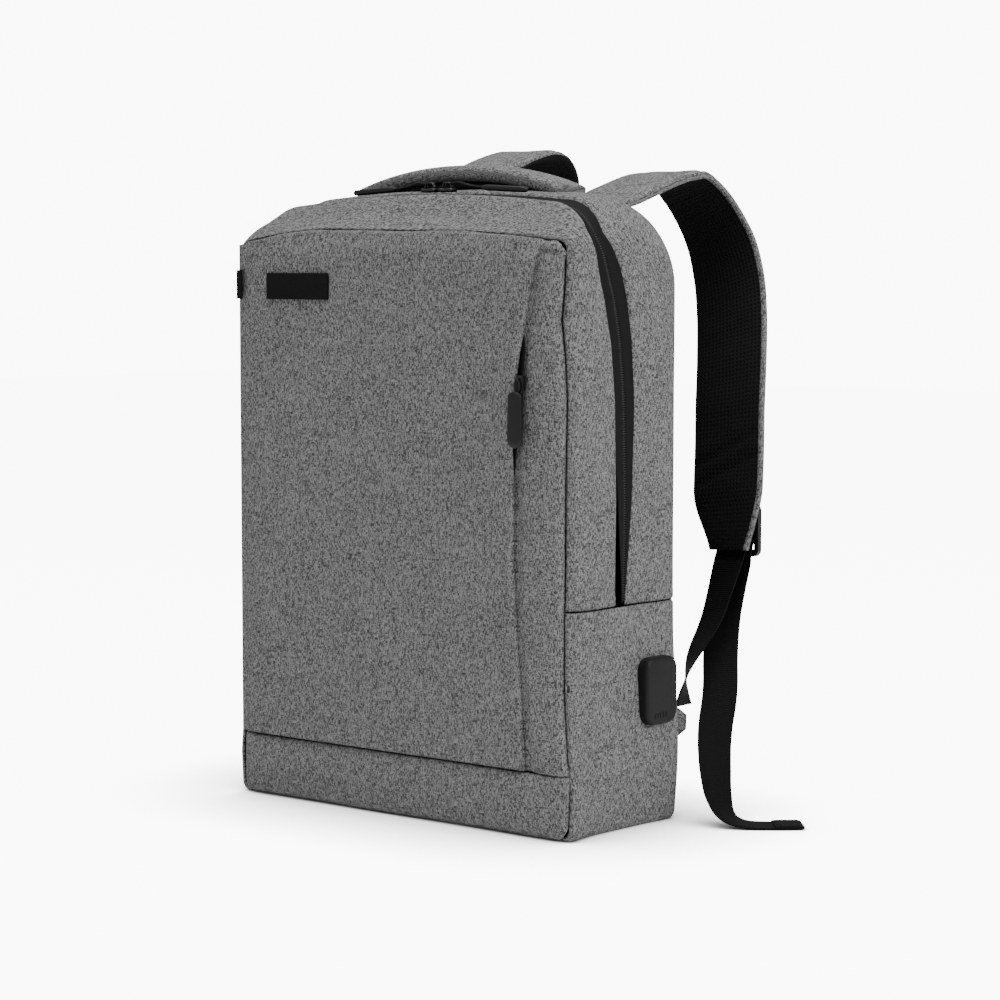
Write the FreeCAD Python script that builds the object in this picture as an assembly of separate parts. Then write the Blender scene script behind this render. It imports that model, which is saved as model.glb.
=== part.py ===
import FreeCAD, Part
import math
import os

# Laptop backpack with a side charging port, built as its sewn and moulded pieces.
# Millimetres, +Z up. The origin is the middle of the base, on the floor. -Y is the
# front, +Y the wearer's back, +X the side with the charging port.

V = FreeCAD.Vector
os.makedirs("parts", exist_ok=True)

# ---- driving dimensions: the bag ------------------------------------------------------
BODY_WIDTH = 302.0
BODY_DEPTH = 122.5
BODY_HEIGHT = 440.0
BACK_Y = 62.5                # rear face; the depth runs forward from here
WALL = 3.0                   # padded cloth wall
TOP_CROWN = 4.0              # how far the top rises between its shoulders
SHOULDER_RADIUS = 42.0       # top corners seen from the front
BOTTOM_RADIUS = 12.0
RIDGE_HEIGHT = 404.0         # where the front face turns into the sloping top
RIDGE_RADIUS = 9.0
SLOPE_REAR_Y = -26.0         # rear edge of the sloping top
REAR_TOP_RADIUS = 42.0
FRONT_CORNER_RADIUS = 14.0
REAR_CORNER_RADIUS = 16.0
CORNER_SEAM_REACH = 30.0     # how far the mitred corner seams run into the bag
FOLD_HEIGHT = 155.0          # the side seam, where the front flap folds down
BAND_HEIGHT = 45.0           # sewn band along the foot of the front
FLAP_GAP = 0.8               # open seam between the flap and the rest of the bag

# ---- driving dimensions: the main zip -------------------------------------------------
ZIP_BAND_WIDTH = 18.0
ZIP_CHAIN_WIDTH = 4.6
ZIP_CHAIN_SINK = 0.3         # chain face below the cloth
ZIP_TAPE_SINK = 0.9          # tape face below the cloth
ZIP_TAPE_THICKNESS = 1.2
ZIP_STOP_LENGTH = 7.0
SLIDER_LENGTH = 12.0
SLIDER_WIDTH = 8.0
SLIDER_HEIGHT = 4.6
SLIDER_CLEARANCE = 0.6       # slider above the cloth
LEFT_SLIDER_X = -3.0
RIGHT_SLIDER_X = 13.0
BRIDGE_RISE = 3.2
PULL_CORD_LENGTH = 27.0
PULL_CORD_DIAMETER = 1.8
PULL_GRIP_LENGTH = 40.0
PULL_GRIP_WIDTH = 6.0
PULL_GRIP_THICKNESS = 4.0
PULL_CLEARANCE = 0.8         # resting pull above the cloth

# ---- driving dimensions: the front pocket ---------------------------------------------
PANEL_THICKNESS = 1.2
PANEL_STAND_OFF = 1.2        # room for the zip tape under the panel
PANEL_MARGIN = 4.0           # panel edge in from the left corner
PATCH_WIDTH = 59.0
PATCH_HEIGHT = 19.0
PATCH_THICKNESS = 0.9
PATCH_CENTRE_X = -88.8
PATCH_CENTRE_Z = 372.5
POCKET_ZIP_X = 115.0
POCKET_ZIP_BOTTOM = 162.0
POCKET_ZIP_TOP = 348.0
POCKET_TAPE_WIDTH = 12.0
POCKET_TAPE_THICKNESS = 0.6
POCKET_CHAIN_WIDTH = 3.6
POCKET_CHAIN_THICKNESS = 1.0
POCKET_SLIDER_Z = 309.0
POCKET_SLIDER_WIDTH = 6.0
POCKET_SLIDER_LENGTH = 10.0
POCKET_SLIDER_HEIGHT = 3.2
POCKET_GRIP_WIDTH = 12.5
POCKET_GRIP_LENGTH = 39.0
POCKET_GRIP_THICKNESS = 3.6

# ---- driving dimensions: handle, back, inside -----------------------------------------
HANDLE_HALF_SPAN = 92.0
HANDLE_TOP = 457.0
HANDLE_THICKNESS = 9.5
HANDLE_FRONT_Y = 5.0
HANDLE_WIDTH = 33.0
BACK_PAD_WIDTH = 268.0
BACK_PAD_TOP = 392.0
BACK_PAD_THICKNESS = 12.5
BACK_PAD_CORNER = 26.0
BACK_CHANNEL_WIDTH = 26.0
BACK_CHANNEL_DEPTH = 6.0
DIVIDER_Y = 36.0
DIVIDER_THICKNESS = 6.0
DIVIDER_TOP = 305.0
SLEEVE_SIDE_GAP = 6.0
POUCH_DEPTH = 24.0
POUCH_FRONT_Y = -44.0
POUCH_WIDTH = 62.0
POUCH_TOP = 118.0
POUCH_CLOTH = 1.5
FIT = 0.3                    # clearance between sewn-in pieces that only lie together

# ---- driving dimensions: charging port ------------------------------------------------
PORT_Y = 33.5
PORT_Z = 93.5
PORT_WIDTH = 35.0
PORT_HEIGHT = 47.0
PORT_PROUD = 10.0
PORT_CORNER = 9.0
PORT_FOOT_THICKNESS = 2.0
PORT_FOOT_MARGIN = 3.0
SOCKET_WIDTH = 15.0
SOCKET_HEIGHT = 8.0
SOCKET_DEPTH = 16.0
SOCKET_WALL = 1.2
LEAD_DIAMETER = 4.0
PLUG_WIDTH = 14.0
PLUG_THICKNESS = 8.0
PLUG_LENGTH = 22.0

# ---- driving dimensions: shoulder straps and webbing ----------------------------------
STRAP_WIDTH = 60.0
STRAP_TIP_WIDTH = 34.0
STRAP_THICKNESS = 7.0
LINING_THICKNESS = 2.4       # mesh layer on the wearer's side, part of the strap
HINGE_Y = 60.0
HINGE_Z = 429.0
STRAP_ROOT_GAP = 2.8
YOKE_THICKNESS = 8.0
WEBBING_WIDTH = 25.0
WEBBING_THICKNESS = 1.5
BUCKLE_WIDTH = 34.0
BUCKLE_HEIGHT = 38.0
BUCKLE_THICKNESS = 4.4
BUCKLE_BAR_RADIUS = 2.2
BUCKLE_LOOP_CLEARANCE = 0.5
BUCKLE_CENTRE_X = 150.0
BUCKLE_CENTRE_Y = 147.6
BUCKLE_TOP_Z = 216.0
ANCHOR_TAB_TOP = 96.0
ANCHOR_TAB_BOTTOM = 38.0
ANCHOR_TAB_REACH = 24.0
ANCHOR_TAB_THICKNESS = 3.0
TAIL_END_LENGTH = 18.0
TAIL_END_THICKNESS = 3.4

# Middle line of each strap from its root seam down to its tip.
RIGHT_STRAP_ROUTE = [
    (70, 62, 429), (72, 84, 433), (74, 106, 440), (76, 127, 447), (79, 147, 452),
    (82, 163, 451), (87, 176, 440), (94, 186, 423), (102, 191, 402), (111, 188, 378),
    (120, 179, 352), (129, 166, 320), (136, 154, 286), (141, 146, 254), (145, 139, 224),
    (148, 136, 200), (149, 135, 183),
]
LEFT_STRAP_ROUTE = [
    (-70, 62, 429), (-70, 82, 437), (-70, 106, 449), (-70, 130, 460), (-70, 154, 468),
    (-70, 176, 472), (-71, 194, 468), (-75, 208, 455), (-82, 216, 434), (-92, 217, 406),
    (-104, 207, 370), (-116, 190, 332), (-127, 171, 296), (-136, 154, 260),
    (-144, 140, 226), (-148, 136, 200), (-149, 135, 183),
]
# Hand-laid routes of the loose webbing tails, buckle to end.
RIGHT_TAIL_ROUTE = [
    (150, 143, 173), (150, 136, 157), (152, 124, 136), (158.5, 110.5, 111), (168, 98, 86),
    (174, 81, 60), (183, 69, 37), (191, 61, 19), (199, 58, 7), (210, 62, 1.8),
    (223, 71, 1.0), (237, 83, 1.0),
]
LEFT_TAIL_ROUTE = [
    (-150, 143, 173), (-150, 142, 157), (-151, 138, 133), (-153, 132, 106),
    (-156, 126, 78), (-160, 121, 50), (-165, 119, 26), (-172, 122, 9), (-183, 130, 1.8),
    (-197, 141, 1.0), (-212, 150, 1.0),
]
# Direction of each webbing's width at its route's points, in degrees round the upright.
RIGHT_TAIL_TURN = [0, 6, 18, 32, 43, 53, 65, 80, 98, 115, 126, 129]
LEFT_TAIL_TURN = [0, 0, 2, 5, 10, 18, 28, 38, 46, 50, 53]
RUN_TURN = [0, 12, 25, 44, 84, 98]
# Webbing from the buckle's lower bar back to the corner tab of the bag.
RUN_ROUTE = [
    (150, 133, 176), (150.5, 122, 155), (152, 109, 134), (151.5, 88, 113), (149.5, 78.5, 93),
    (149.5, 78, 77),
]
LEAD_ROUTE = [
    (130, 33.5, 93.5), (118, 33.5, 94), (106, 27, 104), (103, 14, 124), (111, 0, 142),
    (124, -11, 142), (133, -17, 126), (133.5, -18, 106),
]
# The main zip's middle line seen from the side, as (y, z), from the top down.
ZIP_LINE = [
    (-18, 462), (-18, 446), (-19, 432), (-20.5, 418), (-15.5, 398), (-6.5, 371),
    (1, 337), (5.5, 296), (7.4, 228), (6.2, 155), (5.4, 120),
]
# Right-hand edge of the pocket panel seen from the front, as (x, z), from the top down.
PANEL_EDGE = [
    (127, 392), (119.3, 364), (115.9, 344), (109.1, 297), (107.4, 264), (106.5, 189),
    (109.2, 135), (113.5, 94), (116.2, 50),
]

# ---- sizes worked out from the driving dimensions -------------------------------------
FRONT_Y = BACK_Y - BODY_DEPTH
HALF_WIDTH = BODY_WIDTH / 2
SHOULDER_Z = BODY_HEIGHT - TOP_CROWN - SHOULDER_RADIUS
PANEL_OUTER_Y = FRONT_Y - PANEL_STAND_OFF - PANEL_THICKNESS
PANEL_TOP = RIDGE_HEIGHT - RIDGE_RADIUS
BIG = 4 * BODY_HEIGHT        # past every face of the bag


# ---- drawing helpers ------------------------------------------------------------------
def save(shape, node):
    """Write one sub-part, checked to be sound, to its own file."""
    solids = [solid for solid in shape.Solids if solid.Volume > 0.5]
    result = solids[0] if len(solids) == 1 else Part.makeCompound(solids)
    if not solids or not result.isValid():
        raise ValueError("unsound shape: " + node)
    result.exportStep("parts/" + node + ".step")
    box = result.BoundBox
    print("%-26s %d solid(s) %9.1f mm3  x %.0f..%.0f y %.0f..%.0f z %.0f..%.0f" % (
        node, len(solids), result.Volume, box.XMin, box.XMax, box.YMin, box.YMax,
        box.ZMin, box.ZMax))


def block(x0, x1, y0, y1, z0, z1):
    """A box between two corners."""
    return Part.makeBox(x1 - x0, y1 - y0, z1 - z0, V(x0, y0, z0))


def mirrored(shape):
    """The same shape on the other side of the bag."""
    return shape.mirror(V(0, 0, 0), V(1, 0, 0))


def arc(start, middle, end):
    """An arc edge through three points."""
    return Part.Arc(start, middle, end).toShape()


def line(start, end):
    """A straight edge."""
    return Part.makeLine(start, end)


def corner(centre, radius, from_angle, plane):
    """A quarter arc in a plane, drawn the way the angle grows."""
    points = []
    for step in (0, 45, 90):
        angle = math.radians(from_angle + step)
        points.append((centre[0] + radius * math.cos(angle),
                       centre[1] + radius * math.sin(angle)))
    return arc(*[plane(u, v) for u, v in points])


def rounded_wire(u0, u1, v0, v1, radii, plane):
    """A rectangle with its own radius at each corner, starting at the low-low one."""
    low_low, high_low, high_high, low_high = radii
    return Part.Wire([
        line(plane(u0 + low_low, v0), plane(u1 - high_low, v0)),
        corner((u1 - high_low, v0 + high_low), high_low, -90, plane),
        line(plane(u1, v0 + high_low), plane(u1, v1 - high_high)),
        corner((u1 - high_high, v1 - high_high), high_high, 0, plane),
        line(plane(u1 - high_high, v1), plane(u0 + low_high, v1)),
        corner((u0 + low_high, v1 - low_high), low_high, 90, plane),
        line(plane(u0, v1 - low_high), plane(u0, v0 + low_low)),
        corner((u0 + low_low, v0 + low_low), low_low, 180, plane),
    ])


def plane_x(y, z):
    return V(-BIG, y, z)


def plane_y(x, z):
    return V(x, -BIG, z)


def plane_z(x, y):
    return V(x, y, -BIG)


def inset(wire, distance):
    """A closed wire moved inwards by a distance."""
    return wire.makeOffset2D(-distance) if distance else wire


def rounded_slab(x0, x1, y0, y1, z0, z1, radius):
    """A plate facing Y with four rounded corners."""
    wire = rounded_wire(x0, x1, z0, z1, [radius] * 4, lambda u, v: V(u, y0, v))
    return Part.Face(wire).extrude(V(0, y1 - y0, 0))


# ---- the bag's form -------------------------------------------------------------------
def front_outline():
    """The bag seen from the front: straight sides, round shoulders, a crowned top."""
    inner = HALF_WIDTH - SHOULDER_RADIUS
    top = SHOULDER_Z + SHOULDER_RADIUS
    low = BOTTOM_RADIUS
    return Part.Wire([
        line(plane_y(-HALF_WIDTH + low, 0), plane_y(HALF_WIDTH - low, 0)),
        corner((HALF_WIDTH - low, low), low, -90, plane_y),
        line(plane_y(HALF_WIDTH, low), plane_y(HALF_WIDTH, SHOULDER_Z)),
        corner((inner, SHOULDER_Z), SHOULDER_RADIUS, 0, plane_y),
        arc(plane_y(inner, top), plane_y(0, BODY_HEIGHT), plane_y(-inner, top)),
        corner((-inner, SHOULDER_Z), SHOULDER_RADIUS, 90, plane_y),
        line(plane_y(-HALF_WIDTH, SHOULDER_Z), plane_y(-HALF_WIDTH, low)),
        corner((-HALF_WIDTH + low, low), low, 180, plane_y),
    ])


def side_outline():
    """The bag seen from the side: upright front, sloping top edge, round rear top."""
    low = BOTTOM_RADIUS
    rear = BACK_Y - REAR_TOP_RADIUS
    ridge_start = plane_x(FRONT_Y, RIDGE_HEIGHT - RIDGE_RADIUS)
    ridge_middle = plane_x(FRONT_Y + 0.2 * RIDGE_RADIUS, RIDGE_HEIGHT - 0.3 * RIDGE_RADIUS)
    ridge_end = plane_x(FRONT_Y + 0.8 * RIDGE_RADIUS, RIDGE_HEIGHT + 0.2 * RIDGE_RADIUS)
    slope_end = plane_x(SLOPE_REAR_Y, BODY_HEIGHT - 1.5 * TOP_CROWN)
    crest = plane_x(0, BODY_HEIGHT)
    return Part.Wire([
        line(plane_x(rear, BODY_HEIGHT), crest),
        arc(crest, plane_x(SLOPE_REAR_Y / 2, BODY_HEIGHT - 0.45 * TOP_CROWN), slope_end),
        line(slope_end, ridge_end),
        arc(ridge_end, ridge_middle, ridge_start),
        line(ridge_start, plane_x(FRONT_Y, low)),
        corner((FRONT_Y + low, low), low, 180, plane_x),
        line(plane_x(FRONT_Y + low, 0), plane_x(BACK_Y - low, 0)),
        corner((BACK_Y - low, low), low, -90, plane_x),
        line(plane_x(BACK_Y, low), plane_x(BACK_Y, BODY_HEIGHT - REAR_TOP_RADIUS)),
        corner((rear, BODY_HEIGHT - REAR_TOP_RADIUS), REAR_TOP_RADIUS, 0, plane_x),
    ])


def plan_outline():
    """The bag seen from above."""
    radii = [FRONT_CORNER_RADIUS, FRONT_CORNER_RADIUS, REAR_CORNER_RADIUS, REAR_CORNER_RADIUS]
    return rounded_wire(-HALF_WIDTH, HALF_WIDTH, FRONT_Y, BACK_Y, radii, plane_z)


def form(depth):
    """The bag's solid form, moved in from the outer face by a depth."""
    front = Part.Face(inset(front_outline(), depth)).extrude(V(0, 2 * BIG, 0))
    side = Part.Face(inset(side_outline(), depth)).extrude(V(2 * BIG, 0, 0))
    plan = Part.Face(inset(plan_outline(), depth)).extrude(V(0, 0, 2 * BIG))
    return front.common(side).common(plan)


def skin(outer_depth, inner_depth):
    """A closed skin between two depths under the outer face."""
    return form(outer_depth).cut(form(inner_depth))


def shifted_line(points, distance):
    """A line of (u, v) points moved sideways by a distance."""
    moved = []
    for index, (u, v) in enumerate(points):
        before = points[max(index - 1, 0)]
        after = points[min(index + 1, len(points) - 1)]
        run = math.hypot(after[0] - before[0], after[1] - before[1])
        moved.append((u + distance * (after[1] - before[1]) / run,
                      v - distance * (after[0] - before[0]) / run))
    return moved


def smooth_edge(points):
    """One smooth curve through points."""
    curve = Part.BSplineCurve()
    curve.interpolate(points)
    return curve.toShape()


def beyond_zip(edge, far_y):
    """All that lies between the zip's line, moved sideways, and a far plane."""
    near = [plane_x(y, z) for y, z in shifted_line(ZIP_LINE, edge)]
    high = plane_x(far_y, near[0].z)
    low = plane_x(far_y, near[-1].z)
    wire = Part.Wire([smooth_edge(near), line(near[-1], low), line(low, high), line(high, near[0])])
    return Part.Face(wire).extrude(V(2 * BIG, 0, 0))


def zip_band(rear_edge, front_edge):
    """A band across the bag that follows the zip, between two sideways distances."""
    rear = [plane_x(y, z) for y, z in shifted_line(ZIP_LINE, rear_edge)]
    front = [plane_x(y, z) for y, z in shifted_line(ZIP_LINE, front_edge)]
    wire = Part.Wire([
        smooth_edge(rear), line(rear[-1], front[-1]),
        smooth_edge(list(reversed(front))), line(front[0], rear[0]),
    ])
    return Part.Face(wire).extrude(V(2 * BIG, 0, 0))


def front_wedge():
    """All that lies in front of the two mitred corner seams."""
    reach = CORNER_SEAM_REACH
    out = 40.0
    corners = [
        V(-HALF_WIDTH - out, FRONT_Y - out, -BIG), V(HALF_WIDTH + out, FRONT_Y - out, -BIG),
        V(HALF_WIDTH - reach, FRONT_Y + reach, -BIG), V(-HALF_WIDTH + reach, FRONT_Y + reach, -BIG),
    ]
    wire = Part.makePolygon(corners + corners[:1])
    return Part.Face(wire).extrude(V(0, 0, 2 * BIG))


def rear_wedge():
    """All that lies behind the two mitred rear seams, up to the rear top edge."""
    reach = BOTTOM_RADIUS + 2
    out = 40.0
    corners = [
        V(-HALF_WIDTH - out, BACK_Y + out, -BIG), V(HALF_WIDTH + out, BACK_Y + out, -BIG),
        V(HALF_WIDTH - reach, BACK_Y - reach, -BIG), V(-HALF_WIDTH + reach, BACK_Y - reach, -BIG),
    ]
    wire = Part.makePolygon(corners + corners[:1])
    return Part.Face(wire).extrude(V(0, 0, 2 * BIG))


def slab_z(z0, z1):
    """All that lies between two heights."""
    return block(-BIG, BIG, -BIG, BIG, z0, z1)


# ---- ribbons and cords ----------------------------------------------------------------
def rounded_route(route):
    """Points of straight runs joined by tangent arcs, and the arcs' radii."""
    corners = [V(*point) for point in route]
    points = [corners[0]]
    radii = []
    for before, here, after in zip(corners, corners[1:], corners[2:]):
        turn = (here - before).getAngle(after - here)
        shorter = min((here - before).Length, (after - here).Length)
        radii.append(0.45 * shorter / math.tan(turn / 2))
        start = here + (before - here).normalize() * (0.45 * shorter)
        end = here + (after - here).normalize() * (0.45 * shorter)
        middle = (start + end) * 0.5
        inward = (middle - here).normalize()
        centre = here + inward * (radii[-1] / math.cos(turn / 2))
        points += [start, centre - inward * radii[-1], end]
    points.append(corners[-1])
    return points, radii


def section(centre, across, along, width, thickness):
    """A rectangle across a ribbon."""
    across = across - along * across.dot(along)
    across.normalize()
    normal = along.cross(across)
    half_width = across * (width / 2)
    half_thick = normal * (thickness / 2)
    corners = [
        centre - half_width - half_thick, centre + half_width - half_thick,
        centre + half_width + half_thick, centre - half_width + half_thick,
    ]
    return Part.makePolygon(corners + corners[:1])


def ribbon(points, acrosses, widths, thickness, lift=0.0):
    """A flat band along points, each with its own width and direction across."""
    wires = []
    for index, point in enumerate(points):
        along = points[min(index + 1, len(points) - 1)] - points[max(index - 1, 0)]
        along.normalize()
        across = acrosses[index] - along * acrosses[index].dot(along)
        across.normalize()
        centre = point + along.cross(across) * lift
        wires.append(section(centre, across, along, widths[index], thickness))
    return Part.makeLoft(wires, True, True)


def heading(degrees):
    """A level direction at an angle from +X towards +Y."""
    return V(math.cos(math.radians(degrees)), math.sin(math.radians(degrees)), 0)


def webbing(route, turns, name):
    """Flat webbing along a route of runs and arcs, twisting as its route's turns say."""
    points, radii = rounded_route(route)
    count = len(points)
    acrosses = [heading(turns[0])]
    for turn in turns[1:-1]:
        acrosses += [heading(turn)] * 3
    acrosses.append(heading(turns[-1]))
    shape = ribbon(points, acrosses, [WEBBING_WIDTH] * count, WEBBING_THICKNESS)
    length = sum((b - a).Length for a, b in zip(points, points[1:]))
    section_area = WEBBING_WIDTH * WEBBING_THICKNESS
    print("%s: length %.0f, least arc radius %.1f, volume over section times length %.3f" % (
        name, length, min(radii), shape.Volume / (section_area * length)))
    return shape


def round_cord(route, diameter, name):
    """A round lead swept along straight runs joined by tangent arcs."""
    points, radii = rounded_route(route)
    edges = []
    for index in range(0, len(points) - 1, 3):
        edges.append(line(points[index], points[index + 1]))
        if index + 3 < len(points):
            edges.append(arc(points[index + 1], points[index + 2], points[index + 3]))
    path = Part.Wire(edges)
    ring = Part.makeCircle(diameter / 2, points[0], points[1] - points[0])
    shape = path.makePipeShell([Part.Wire([ring])], True, False)
    ratio = shape.Volume / (math.pi * diameter ** 2 / 4 * path.Length)
    print("%s: length %.0f, least arc radius %.1f, volume over section times length %.3f" % (
        name, path.Length, min(radii), ratio))
    return shape


# ---- the bag's cloth pieces -----------------------------------------------------------
def make_cloth():
    """Cut the padded cloth into its sewn panels."""
    cloth = skin(0, WALL)
    band = ZIP_BAND_WIDTH / 2
    chain = ZIP_CHAIN_WIDTH / 2
    front = front_wedge()
    rear = rear_wedge()
    upper_rear = slab_z(FOLD_HEIGHT, BIG)
    upper_front = slab_z(FOLD_HEIGHT + FLAP_GAP / 2, BIG)
    lower = slab_z(WALL, FOLD_HEIGHT)
    lower_front = slab_z(WALL, FOLD_HEIGHT - FLAP_GAP / 2)
    behind_zip = beyond_zip(-band, BIG)
    before_zip = beyond_zip(band, -BIG)
    side = slab_z(0, FOLD_HEIGHT).cut(front).cut(rear)

    save(cloth.common(slab_z(0, WALL)), "base_panel")
    save(cloth.common(front).common(slab_z(WALL, BAND_HEIGHT)), "front_base_band")
    front_wall = cloth.common(front).common(lower_front)
    save(front_wall.common(slab_z(BAND_HEIGHT, BIG)), "front_panel_lower")
    lower_sides = cloth.common(side).common(lower_front)
    save(lower_sides.common(block(0, BIG, -BIG, BIG, 0, BIG)), "side_panel_right")
    save(lower_sides.common(block(-BIG, 0, -BIG, BIG, 0, BIG)), "side_panel_left")
    save(cloth.common(rear).common(slab_z(WALL, BODY_HEIGHT - REAR_TOP_RADIUS)), "back_panel")
    top_rear = cloth.common(upper_rear).common(behind_zip)
    save(top_rear.cut(rear.common(slab_z(0, BODY_HEIGHT - REAR_TOP_RADIUS))), "rear_gusset")

    flap = cloth.common(upper_front).common(before_zip)
    save(flap.common(front), "front_panel_upper")
    save(flap.cut(front), "front_gusset")

    tape = skin(ZIP_TAPE_SINK, ZIP_TAPE_SINK + ZIP_TAPE_THICKNESS)
    save(tape.common(zip_band(-band, -chain)).common(upper_rear), "zip_tape_rear")
    front_tape = tape.common(zip_band(chain + FLAP_GAP, band)).common(upper_front)
    save(front_tape, "zip_tape_front")
    chain_skin = skin(ZIP_CHAIN_SINK, WALL - ZIP_CHAIN_SINK).common(zip_band(-chain, chain))
    stop_top = FOLD_HEIGHT + ZIP_STOP_LENGTH
    save(chain_skin.common(slab_z(stop_top, BIG)), "zip_chain")
    save(chain_skin.common(slab_z(FOLD_HEIGHT, stop_top)), "zip_end_stops")


def panel_outline(z0, z1):
    """The pocket panel's outline between two heights, its right edge a smooth curve."""
    left = -HALF_WIDTH + PANEL_MARGIN
    edge = smooth_edge([plane_y(x, z) for x, z in PANEL_EDGE])
    top = plane_y(left, PANEL_EDGE[0][1])
    foot = plane_y(left, PANEL_EDGE[-1][1])
    wire = Part.Wire([
        line(top, plane_y(*PANEL_EDGE[0])), edge, line(plane_y(*PANEL_EDGE[-1]), foot),
        line(foot, top),
    ])
    solid = Part.Face(wire).extrude(V(0, 2 * BIG, 0))
    return solid.common(block(-BIG, BIG, PANEL_OUTER_Y, PANEL_OUTER_Y + PANEL_THICKNESS, z0, z1))


def make_front_pocket():
    """The panel over the front pocket, its zip, and the plain patch on it."""
    save(panel_outline(FOLD_HEIGHT + FLAP_GAP / 2, PANEL_TOP), "pocket_panel_upper")
    save(panel_outline(BAND_HEIGHT, FOLD_HEIGHT - FLAP_GAP / 2), "pocket_panel_lower")
    half = PATCH_WIDTH / 2
    patch = block(PATCH_CENTRE_X - half, PATCH_CENTRE_X + half,
                  PANEL_OUTER_Y - PATCH_THICKNESS, PANEL_OUTER_Y,
                  PATCH_CENTRE_Z - PATCH_HEIGHT / 2, PATCH_CENTRE_Z + PATCH_HEIGHT / 2)
    save(patch, "front_patch")
    tape_face = FRONT_Y - POCKET_TAPE_THICKNESS
    half_tape = POCKET_TAPE_WIDTH / 2
    tape = block(POCKET_ZIP_X - half_tape, POCKET_ZIP_X + half_tape, tape_face, FRONT_Y,
                 POCKET_ZIP_BOTTOM, POCKET_ZIP_TOP)
    save(tape, "pocket_zip_tape")
    half_chain = POCKET_CHAIN_WIDTH / 2
    chain_face = tape_face - POCKET_CHAIN_THICKNESS
    free = panel_outline(0, BIG)
    chain = block(POCKET_ZIP_X - half_chain, POCKET_ZIP_X + half_chain, chain_face, tape_face,
                  POCKET_ZIP_BOTTOM + FIT, POCKET_ZIP_TOP - FIT)
    save(chain.cut(free), "pocket_zip_chain")

    slider_back = chain_face - FIT - FIT
    slider_face = slider_back - POCKET_SLIDER_HEIGHT
    half_slider = POCKET_SLIDER_WIDTH / 2
    body = block(POCKET_ZIP_X - half_slider, POCKET_ZIP_X + half_slider, slider_face,
                 slider_back, POCKET_SLIDER_Z - POCKET_SLIDER_LENGTH / 2,
                 POCKET_SLIDER_Z + POCKET_SLIDER_LENGTH / 2)
    save(body, "pocket_slider")
    pull_front = slider_face - FIT
    loop_y = pull_front - PULL_CORD_DIAMETER / 2
    grip_top = POCKET_SLIDER_Z - POCKET_SLIDER_LENGTH / 2 - FIT
    cord_top = POCKET_SLIDER_Z + 2.0
    loop = Part.makeCylinder(PULL_CORD_DIAMETER / 2, cord_top - grip_top,
                             V(POCKET_ZIP_X, loop_y, grip_top))
    save(loop, "pocket_pull_cord")
    grip = rounded_slab(POCKET_ZIP_X - POCKET_GRIP_WIDTH / 2 - 2, POCKET_ZIP_X + POCKET_GRIP_WIDTH / 2 - 2,
                        pull_front - POCKET_GRIP_THICKNESS, pull_front,
                        grip_top - POCKET_GRIP_LENGTH, grip_top, POCKET_GRIP_WIDTH / 2 - 0.5)
    save(grip, "pocket_pull_grip")


# ---- main zip sliders and pulls -------------------------------------------------------
def make_slider(x, outward, side):
    """One main slider on the top of the bag with its cord loop and moulded grip."""
    zip_y = ZIP_LINE[1][0]
    base = BODY_HEIGHT + SLIDER_CLEARANCE
    top = base + SLIDER_HEIGHT
    half = SLIDER_LENGTH / 2
    body = block(x - half, x + half, zip_y - SLIDER_WIDTH / 2, zip_y + SLIDER_WIDTH / 2, base, top)
    foot = block(x - half / 2, x + half / 2, zip_y - 1.0, zip_y + 1.0, top, top + BRIDGE_RISE)
    save(body.fuse(foot).removeSplitter(), "zip_slider_" + side)

    eye_x = x + outward * half * 0.95
    eye_z = top + BRIDGE_RISE / 2
    grip_start = x + outward * (half + PULL_CORD_LENGTH)
    grip_end = grip_start + outward * PULL_GRIP_LENGTH
    grip_low = BODY_HEIGHT + PULL_CLEARANCE
    grip_mid = grip_low + PULL_GRIP_THICKNESS / 2
    start = V(eye_x, zip_y, eye_z)
    end = V(grip_start, zip_y, grip_mid)
    cord = Part.makeCylinder(PULL_CORD_DIAMETER / 2, (end - start).Length, start, end - start)
    save(cord, "zip_pull_cord_" + side)
    grip = block(min(grip_start, grip_end), max(grip_start, grip_end), zip_y - PULL_GRIP_WIDTH / 2,
                 zip_y + PULL_GRIP_WIDTH / 2, grip_low, grip_low + PULL_GRIP_THICKNESS)
    long_edges = [edge for edge in grip.Edges if edge.Length > PULL_GRIP_LENGTH - 1]
    rounded = grip.makeFillet(PULL_GRIP_THICKNESS * 0.3, long_edges)
    save(rounded.cut(cord), "zip_pull_grip_" + side)


# ---- handle, back, inside -------------------------------------------------------------
def make_handle():
    """A padded arch over the top, sewn down at both ends, with room for fingers under it."""
    span = HANDLE_HALF_SPAN
    foot = BODY_HEIGHT - TOP_CROWN
    inner_span = span - 1.2 * HANDLE_THICKNESS
    y = HANDLE_FRONT_Y
    outer_top = HANDLE_TOP
    inner_top = HANDLE_TOP - HANDLE_THICKNESS

    def sheet(x, z):
        return V(x, y, z)

    wire = Part.Wire([
        arc(sheet(-span, foot), sheet(0, outer_top), sheet(span, foot)),
        line(sheet(span, foot), sheet(inner_span, foot)),
        arc(sheet(inner_span, foot), sheet(0, inner_top), sheet(-inner_span, foot)),
        line(sheet(-inner_span, foot), sheet(-span, foot)),
    ])
    band = Part.Face(wire).extrude(V(0, HANDLE_WIDTH, 0))
    save(band.cut(form(0)), "top_handle")


def make_back_pad():
    """Mesh padding on the wearer's side with a sunk air channel down the middle."""
    half = BACK_PAD_WIDTH / 2
    pad = rounded_slab(-half, half, BACK_Y, BACK_Y + BACK_PAD_THICKNESS, 1.0, BACK_PAD_TOP,
                       BACK_PAD_CORNER)
    half_channel = BACK_CHANNEL_WIDTH / 2
    rear = BACK_Y + BACK_PAD_THICKNESS
    channel = block(-half_channel, half_channel, rear - BACK_CHANNEL_DEPTH, rear + 1, -1, BIG)
    save(pad.cut(channel), "back_pad")


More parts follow.
